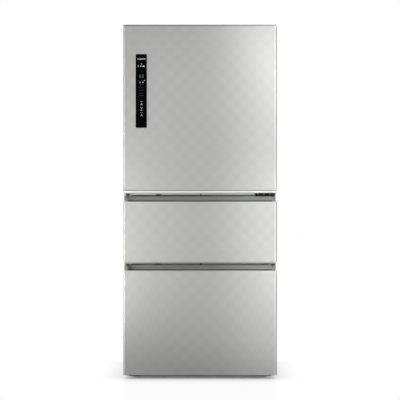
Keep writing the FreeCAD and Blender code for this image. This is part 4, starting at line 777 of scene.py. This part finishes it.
def grown(name, tree, body, slot, values, material=None, places=(), facings=()):
    """A plain mesh grown by the tree on its start points, with the tree's inputs set by name."""
    start = bpy.data.meshes.new(name + "_start")
    start.from_pydata(places, [], [])
    if facings:
        stored = start.attributes.new("facing", "FLOAT_VECTOR", "POINT")
        for row, facing in zip(stored.data, facings):
            row.vector = facing
    piece = bpy.data.objects.new(name, start)
    scene.collection.objects.link(piece)
    grower = piece.modifiers.new(tree.name, "NODES")
    grower.node_group = tree
    values = {**values, "Material": material or FINISHES[slot]}
    for socket in tree.interface.items_tree:
        if socket.in_out == "INPUT" and socket.name in values:
            grower[socket.identifier] = values[socket.name]
    mesh = bpy.data.meshes.new_from_object(
        piece.evaluated_get(bpy.context.evaluated_depsgraph_get()))
    piece.modifiers.clear()
    mesh.name = name
    mesh.shade_smooth()
    mesh.set_sharp_from_angle(angle=radians(EDGE_ANGLE))
    piece.data = mesh
    return slotted(piece, slot, body)


rib_rows = rib_rows_tree()
rim_ribs = rim_ribs_tree()
wire_guard = wire_guard_tree()
cross_screws = cross_screws_tree()
ROUND, SQUARE, LAMP_ROUND = 12, 4, 16  # a rib's number of sides
ACROSS, UPRIGHT = (1.0, 0.0, 0.0), (0.0, 0.0, 1.0)
ONE_ROW = (1, (0, 0, 0))


def rib_block(name, body, slot, sides, along, size, middle, columns, rows=ONE_ROW, material=None):
    """Rows of ribs about a middle: columns and rows are a count and a step; lengths in millimetres."""
    steps = [Vector(step) * MM for count, step in (columns, rows)]
    start = Vector(middle) * MM - steps[0] * (columns[0] - 1) / 2 - steps[1] * (rows[0] - 1) / 2
    return grown(name, rib_rows, body, slot, {
        "Sides": sides, "Along": along, "Rib Size": list(Vector(size) * MM), "Start": list(start),
        "Columns": columns[0], "Column Step": list(steps[0]), "Rows": rows[0], "Row Step": list(steps[1])},
        material)


# Screws: one head for each packed screw

HEAD_HEIGHT = 2.4 * MM
NEAR = 0.1 * MM


def screw_places():
    """Each screw's seat under its head and the way the head faces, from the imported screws."""
    bm = merged("cabinet_screws")
    loose = set(bm.verts)
    seats, facings = [], []
    while loose:
        screw = [loose.pop()]
        for vert in screw:
            for edge in vert.link_edges:
                other = edge.other_vert(vert)
                if other in loose:
                    loose.remove(other)
                    screw.append(other)
        spans = [sorted(v.co[axis] for v in screw) for axis in range(3)]
        middle = Vector([(span[0] + span[-1]) / 2 for span in spans])
        widths = [span[-1] - span[0] for span in spans]
        axis = next(n for n in range(3) if abs(widths[n] - sorted(widths)[1]) > NEAR)
        reach = {end: max((v.co - middle).length for v in screw if abs(v.co[axis] - spans[axis][end]) < NEAR)
                 for end in (0, -1)}
        head = -1 if reach[-1] > reach[0] else 0
        facing = Vector((0, 0, 0))
        facing[axis] = 1 if head else -1
        top = middle.copy()
        top[axis] = spans[axis][head]
        seats.append(top - facing * HEAD_HEIGHT)
        facings.append(facing)
    bm.free()
    return seats, facings


seats, facings = screw_places()
screws = grown("cabinet_screws_finished", cross_screws, "cabinet", "screw_steel", {
    "Head Radius": 3.6 * MM, "Head Height": HEAD_HEIGHT, "Shank Radius": 1.9 * MM,
    "Shank Length": 3.2 * MM}, places=seats, facings=facings)
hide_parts("cabinet_screws")


# Ribs, slats and bars

def box_mm(node):
    """The corners of a node's box, in millimetres."""
    return [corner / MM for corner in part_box(node)]


BASKET_WALL = 18  # how far a basket's wall stands in from its rim
BASKET_RIBS, BIN_RIBS = 8, 9
BASKET_CLEAR, BASKET_FOOT = 60, 30  # from the ribs to the rim and corners, and to the floor
for node in ("middle_basket", "lower_basket"):
    low, high = box_mm(node)
    wall = high.x - BASKET_WALL
    tall = high.z - low.z - BASKET_CLEAR - BASKET_FOOT
    step = (high.y - low.y - 2 * BASKET_CLEAR) / (BASKET_RIBS - 1)
    rib_block(f"{node}_ribs", parts[node]["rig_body"], "clear_plastic", ROUND, UPRIGHT, size=(3, 5, tall),
              middle=(0, (low.y + high.y) / 2, low.z + BASKET_FOOT + tall / 2),
              columns=(BASKET_RIBS, (0, step, 0)), rows=(2, (2 * wall, 0, 0)))
BIN_CLEAR, BIN_FOOT, BIN_HEAD = 40, 14, 16  # from the ribs to the corners, the floor and the rim
for node in ("door_bin_bottom", "door_bin_middle", "door_bin_top"):
    low, high = box_mm(node)
    tall = high.z - low.z - BIN_FOOT - BIN_HEAD
    step = (high.x - low.x - 2 * BIN_CLEAR) / (BIN_RIBS - 1)
    rib_block(f"{node}_ribs", "upper_door", "clear_plastic", ROUND, UPRIGHT, size=(7, 2.4, tall),
              middle=((low.x + high.x) / 2, high.y, low.z + BIN_FOOT + tall / 2),
              columns=(BIN_RIBS, (step, 0, 0)))
TRAY_CLEAR, TRAY_RIB_LEVEL = 30, 42
low, high = box_mm("lower_tray")
rib_block("lower_tray_ribs", "lower_tray", "clear_plastic", ROUND, ACROSS,
          size=(high.x - low.x - 2 * TRAY_CLEAR, 2, 4), middle=(0, high.y, low.z + TRAY_RIB_LEVEL),
          columns=(2, (0, 0, 36)))

# The back's cover: a pressed lip over each slot.
LIP_OUT, LIP_UP = 1.5, 6
low, high = box_mm("machine_cover")
rib_block("machine_cover_louvres", "cabinet", slot_of["machine_cover"], ROUND, ACROSS,
          size=(172, 7, 7), middle=(0, low.y + LIP_OUT, (low.z + high.z) / 2 + LIP_UP),
          columns=(2, (440, 0, 0)), rows=(8, (0, 0, 18)))

# The cold-air covers: upright slats in each vent, and a wire guard before the fan.
VENT_IN, VENT_ROWS, GRILLE_IN = 4.5, 4, 2
duct_low, duct_high = box_mm("fridge_duct_cover")
vent_level = (duct_low.z + duct_high.z) / 2
vent_step = (duct_high.z - duct_low.z) / VENT_ROWS
fan_level = sum(corner.z for corner in box_mm("evaporator_fan")) / 2
grille_y = box_mm("freezer_duct_cover")[0].y + GRILLE_IN
# Each pair of vents: a slat's size, the vent's place out from the middle, back and up, its columns and rows.
for name, size, out, back, up, columns, rows in (
        ("fridge_vent_slats", (1.6, 7, 9.4), 80, duct_low.y + VENT_IN, vent_level, (8, (8, 0, 0)),
         (VENT_ROWS, (0, 0, vent_step))),
        ("freezer_grille_slats", (2, 3, 8.4), 220, grille_y, fan_level, (10, (13, 0, 0)), (4, (0, 0, 20)))):
    for side, hand in ((-1, "left"), (1, "right")):
        rib_block(f"{name}_{hand}", "cabinet", "duct_white", SQUARE, UPRIGHT, size, (side * out, back, up),
                  columns, rows)
grown("fan_guard", wire_guard, "cabinet", "duct_white", {
    "Rings": 5, "Inner Radius": 16 * MM, "Ring Step": 12 * MM, "Spokes": 6, "Wire Radius": 1.4 * MM,
    "Centre": [0.0, grille_y * MM, fan_level * MM], "Axis": [0.0, 1.0, 0.0]})

# The lamp in the ceiling: a row of light-emitting diodes that shines through the lens.
low, high = box_mm("fridge_light")
rib_block("fridge_light_diodes", "cabinet", "light_lens", LAMP_ROUND, UPRIGHT, size=(9, 9, 1.2),
          middle=((low.x + high.x) / 2, (low.y + high.y) / 2, low.z), columns=(10, (34, 0, 0)),
          material=glowing("white_diode", "#FFF7E2", "#FFFDF6", 1.2))

# Grips on the feet and treads on the rollers.
GRIP_LEVEL = 3 * MM
for side in ("left", "right"):
    low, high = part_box(f"{side}_front_foot")
    centre = (low + high) / 2
    grown(f"{side}_foot_grip", rim_ribs, f"{side}_foot", "foot_black", {
        "Count": 36, "Rim Radius": 19.6 * MM, "Rib Radius": 1.1 * MM, "Rib Length": 4.6 * MM,
        "Centre": [centre.x, centre.y, low.z + GRIP_LEVEL], "Axis": UPRIGHT})
    low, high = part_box(f"{side}_rear_roller")
    grown(f"{side}_roller_tread", rim_ribs, f"{side}_roller", "roller_grey", {
        "Count": 40, "Rim Radius": 13.3 * MM, "Rib Radius": 0.7 * MM, "Rib Length": 23 * MM,
        "Centre": list((low + high) / 2), "Axis": ACROSS})


# Evaporator: a fin pack on a bent tube

BEND_STEPS = 8
TUBE_SIDES = 14


def bent_path(corners, bend):
    """Points along straight runs whose inner corners are bent to a radius."""
    path = [corners[0]]
    for before, corner, after in zip(corners, corners[1:], corners[2:]):
        back, ahead = (before - corner).normalized(), (after - corner).normalized()
        half = back.angle(ahead) / 2
        middle = corner + (back + ahead).normalized() * (bend / sin(half))
        first = corner + back * (bend / tan(half)) - middle
        swing = first.rotation_difference(corner + ahead * (bend / tan(half)) - middle)
        for n in range(BEND_STEPS + 1):
            arm = first.copy()
            arm.rotate(Quaternion().slerp(swing, n / BEND_STEPS))
            path.append(middle + arm)
    path.append(corners[-1])
    return path


def sweep_tube(bm, path, radius):
    """A round tube along the path, closed at both ends."""
    side = (path[1] - path[0]).orthogonal().normalized()
    turns = [k * tau / TUBE_SIDES for k in range(TUBE_SIDES)]
    rings = []
    for n, point in enumerate(path):
        ahead = (path[min(n + 1, len(path) - 1)] - path[max(n - 1, 0)]).normalized()
        side = (side - ahead * side.dot(ahead)).normalized()
        up = ahead.cross(side)
        rings.append([bm.verts.new(point + (side * cos(turn) + up * sin(turn)) * radius) for turn in turns])
    for first, second in zip(rings, rings[1:]):
        bridge(bm, first, second)
    for ring in (rings[0], rings[-1]):
        bm.faces.new(ring)


def tubes(name, slot, material, runs):
    """Bent tubes as one piece: each run is its corners in millimetres, its bend and its tube radius."""
    bm = bmesh.new()
    for corners, bend, radius in runs:
        sweep_tube(bm, bent_path([Vector(corner) * MM for corner in corners], bend * MM), radius * MM)
    slotted(closed_piece(name, bm, material), slot, "cabinet")


COIL_RADIUS, COIL_PASSES = 4, 4
BEND_SLACK = 0.01  # a bend is that much under half the pitch, so that its two corners don't meet
FIN_COUNT, FIN_SPAN, FIN_THICK = 84, 500, 0.4
low, high = box_mm("evaporator")
middle = (low + high) / 2
pitch = (high.z - low.z) / COIL_PASSES
levels = [low.z + pitch * (n + 0.5) for n in range(COIL_PASSES)]
reach = high.x - COIL_RADIUS
corners = [(-reach, middle.y, levels[0])]
for n, level in enumerate(levels[:-1]):
    end = reach if n % 2 == 0 else -reach
    corners += [(end, middle.y, level), (end, middle.y, levels[n + 1])]
corners.append((-reach, middle.y, levels[-1]))
tubes("evaporator_tube", "fin_aluminium", FINISHES["fin_aluminium"],
      [(corners, pitch / 2 - BEND_SLACK, COIL_RADIUS)])
fins = rib_block("evaporator_fins", "cabinet", "fin_aluminium", SQUARE, ACROSS,
                 size=(FIN_THICK, high.y - low.y, high.z - low.z), middle=(0, middle.y, middle.z),
                 columns=(FIN_COUNT, (FIN_SPAN / (FIN_COUNT - 1), 0, 0)))
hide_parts("evaporator")

# The compressor's suction, discharge and filling tubes: corners in mm, some from the can's middle.
low, high = box_mm("compressor")
can_x, can_y = (low.x + high.x) / 2, (low.y + high.y) / 2
suction = [(can_x - 60, can_y + 30, 120), (30, can_y + 30, 120), (30, can_y + 30, 225),
           (-300, can_y + 30, 225), (-300, can_y - 40, 225)]
discharge = [(can_x - 60, can_y - 20, 160), (50, can_y - 20, 160), (50, can_y - 20, 205),
             (-250, can_y - 20, 205)]
filling = [(can_x + 60, can_y + 40, 150), (can_x + 120, can_y + 40, 150), (can_x + 120, can_y + 40, 215)]
tubes("compressor_tubes", "compressor_black", copper_tube,
      [(suction, 14, 4), (discharge, 14, 3), (filling, 12, 3)])

# The ledges that the shelves rest on: their profile is in from the wall and down from the shelf, in mm.
LEDGE_PROFILE = ((10, 0), (10, 3.5), (9, 5), (1, 8), (0, 8), (0, 0))
LEDGE_FRONT = 16 * MM
LEDGE_ROUND = 0.8
LEVEL_DIGITS = 5
bm = bmesh.new()
ledge_ends = (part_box("glass_shelves")[0].y + LEDGE_FRONT, room_back)
shelf_levels = sorted({round(v.co.z, LEVEL_DIGITS) for v in parts["glass_shelves"].data.vertices})
for level in shelf_levels[::2]:  # each shelf's underside
    for side in (-1, 1):
        prism(bm, [(side * (room_half - across * MM), level - down * MM) for across, down in LEDGE_PROFILE],
              ledge_ends)
ledges = closed_piece("shelf_ledges", bm, FINISHES["liner_white"])
roll_edges(ledges, LEDGE_ROUND)
slotted(ledges, "liner_white", "cabinet")


# Stage: camera, floor, background and lamps

PHOTO_PIXELS = 400
PIXEL = 5.208 * MM
CAMERA_DISTANCE = 6.63
CAMERA_HEIGHT = 0.933
SENSOR = 36
WHITE = (1, 1, 1, 1)
ROOM_LIGHT = 0.1
FLOOR_RADIUS, FLOOR_SIDES = 30, 64
FLOOR_GREY = (0.5, 0.5, 0.5, 1)
FLOOR_GLOSS, FLOOR_ROUGH = 0.06, 0.12
SHADE_REACH, SHADE_DEPTH, SHADE_SAMPLES = 0.14, 0.42, 16

camera_data = bpy.data.cameras.new("photo_camera")
camera_data.sensor_width = SENSOR
camera_data.lens = SENSOR * CAMERA_DISTANCE / (PHOTO_PIXELS * PIXEL)
camera = bpy.data.objects.new("photo_camera", camera_data)
camera.location = (0.0, door_front - CAMERA_DISTANCE, CAMERA_HEIGHT)
camera.rotation_euler = (pi / 2, 0, 0)
scene.collection.objects.link(camera)
scene.camera = camera


def seen_directly(add):
    """1 for a ray that shows the background itself: from the camera, a gloss or a clear piece."""
    ray = add("ShaderNodeLightPath").outputs
    seen = ray["Is Camera Ray"]
    for way in ("Is Glossy Ray", "Is Transmission Ray"):
        seen = add("ShaderNodeMath", {0: seen, 1: ray[way]}, operation="MAXIMUM")
    return seen


world = bpy.data.worlds.new("white_room")
scene.world = world
world.use_nodes = True
world.node_tree.nodes.clear()
add = partial(add_node, world.node_tree)
dim_room, white_room = [add("ShaderNodeBackground", {
    "Color": WHITE, "Strength": strength}) for strength in (ROOM_LIGHT, 1.0)]
either = add("ShaderNodeMixShader", {"Fac": seen_directly(add), 1: dim_room, 2: white_room})
add("ShaderNodeOutputWorld", {"Surface": either})

# White floor: shown as white where it is looked at, darkened near the object, with a faint gloss.
floor_paint = bpy.data.materials.new("white_floor_paint")
floor_paint.use_nodes = True
floor_paint.node_tree.nodes.clear()
add = partial(add_node, floor_paint.node_tree)
near = add("ShaderNodeAmbientOcclusion", {"Distance": SHADE_REACH}, samples=SHADE_SAMPLES).outputs["AO"]
shade = add("ShaderNodeMath", {0: near, 1: SHADE_DEPTH}, operation="POWER")
shown = add("ShaderNodeEmission", {"Color": WHITE, "Strength": shade})
gloss = add("ShaderNodeBsdfGlossy", {"Color": WHITE, "Roughness": FLOOR_ROUGH})
polished = add("ShaderNodeMixShader", {"Fac": FLOOR_GLOSS, 1: shown, 2: gloss})
matt = add("ShaderNodeBsdfDiffuse", {"Color": FLOOR_GREY})
paint = add("ShaderNodeMixShader", {"Fac": seen_directly(add), 1: matt, 2: polished})
add("ShaderNodeOutputMaterial", {"Surface": paint})
bm = bmesh.new()
bmesh.ops.create_circle(bm, cap_ends=True, radius=FLOOR_RADIUS, segments=FLOOR_SIDES)
new_piece("floor", bm, floor_paint)


def softbox(name, place, aim, width, height, watts, spread, matt=True, gloss=True):
    """A soft lamp, facing its aim and unseen by the camera; it lights matt or glossy surfaces or both."""
    data = bpy.data.lights.new(name, "AREA")
    data.shape = "RECTANGLE"
    data.size, data.size_y = width, height
    data.energy = watts
    data.spread = radians(spread)
    lamp = bpy.data.objects.new(name, data)
    lamp.location = place
    lamp.rotation_euler = (Vector(aim) - Vector(place)).to_track_quat("-Z", "Y").to_euler()
    lamp.visible_camera = False
    lamp.visible_diffuse = matt
    lamp.visible_glossy = gloss
    scene.collection.objects.link(lamp)


# Upright strips before the doors' edges: place, aim across, height, watts and spread.
STRIP_WIDTH = 0.22
for name, place, aim_x, height, watts, spread in (
        ("left_low_strip", (-0.72, -0.70, 0.46), -0.37, 0.35, 1.74, 140),
        ("left_middle_strip", (-0.80, -0.75, 0.95), -0.37, 0.45, 1.68, 140),
        ("left_high_strip", (-1.0, -0.95, 1.70), -0.37, 0.60, 0.77, 140),
        ("right_low_strip", (0.62, -2.2, 0.25), 0.50, 0.50, 0.64, 30),
        ("right_middle_strip", (0.62, -2.2, 0.75), 0.50, 0.50, 0.87, 30),
        ("right_upper_strip", (0.62, -2.2, 1.25), 0.50, 0.50, 0.57, 30),
        ("right_high_strip", (0.62, -2.2, 1.80), 0.50, 0.50, 1.30, 30)):
    softbox(name, place, (aim_x, door_front, place[2]), STRIP_WIDTH, height, watts, spread, gloss=False)
# Softboxes between the camera and the doors, square to them: across, level, width, watts and spread.
FRONT_LAMP_Y, FRONT_LAMP_HEIGHT = -4.2, 0.3
for name, across, level, width, watts, spread in (
        ("front_top_softbox", 0.0, 1.75, 1.2, 4.52, 40),
        ("front_middle_softbox", 0.0, 0.85, 1.2, 0.78, 24),
        ("front_low_softbox", 0.1, 0.35, 0.6, 0.227, 14)):
    softbox(name, (across, FRONT_LAMP_Y, level), (across, door_front, level), width, FRONT_LAMP_HEIGHT,
            watts, spread, gloss=False)
# Narrow strips that show only as a glint along the doors' rolled upright edges.
GLINT_OUT, GLINT_BEFORE, GLINT_AIM, GLINT_LEVEL = 1.0, 0.65, 0.395, 0.93
GLINT_SIZE, GLINT_SPREAD = (0.12, 1.9), 140
for name, side, watts in (("left_glint_strip", -1, 7.0), ("right_glint_strip", 1, 3.0)):
    softbox(name, (side * GLINT_OUT, door_front - GLINT_BEFORE, GLINT_LEVEL),
            (side * GLINT_AIM, door_front, GLINT_LEVEL), *GLINT_SIZE, watts, GLINT_SPREAD, matt=False)
# Large soft lamps for the top, the back and the sides: place, aim, width, height, watts and spread.
for row in (
        ("top_softbox", (0.0, 0.6, 3.6), (0.0, 0.5, 0.0), 2.0, 1.4, 14, 150),
        ("rear_softbox", (0.6, 4.0, 2.2), (0.0, 0.37, 1.0), 2.0, 1.6, 26, 140),
        ("left_side_softbox", (-2.8, 2.4, 1.8), (-0.4, 0.3, 1.0), 1.6, 1.8, 8, 120),
        ("right_side_softbox", (2.4, 2.9, 1.8), (0.4, 0.3, 1.0), 1.6, 1.8, 8, 120)):
    softbox(*row)
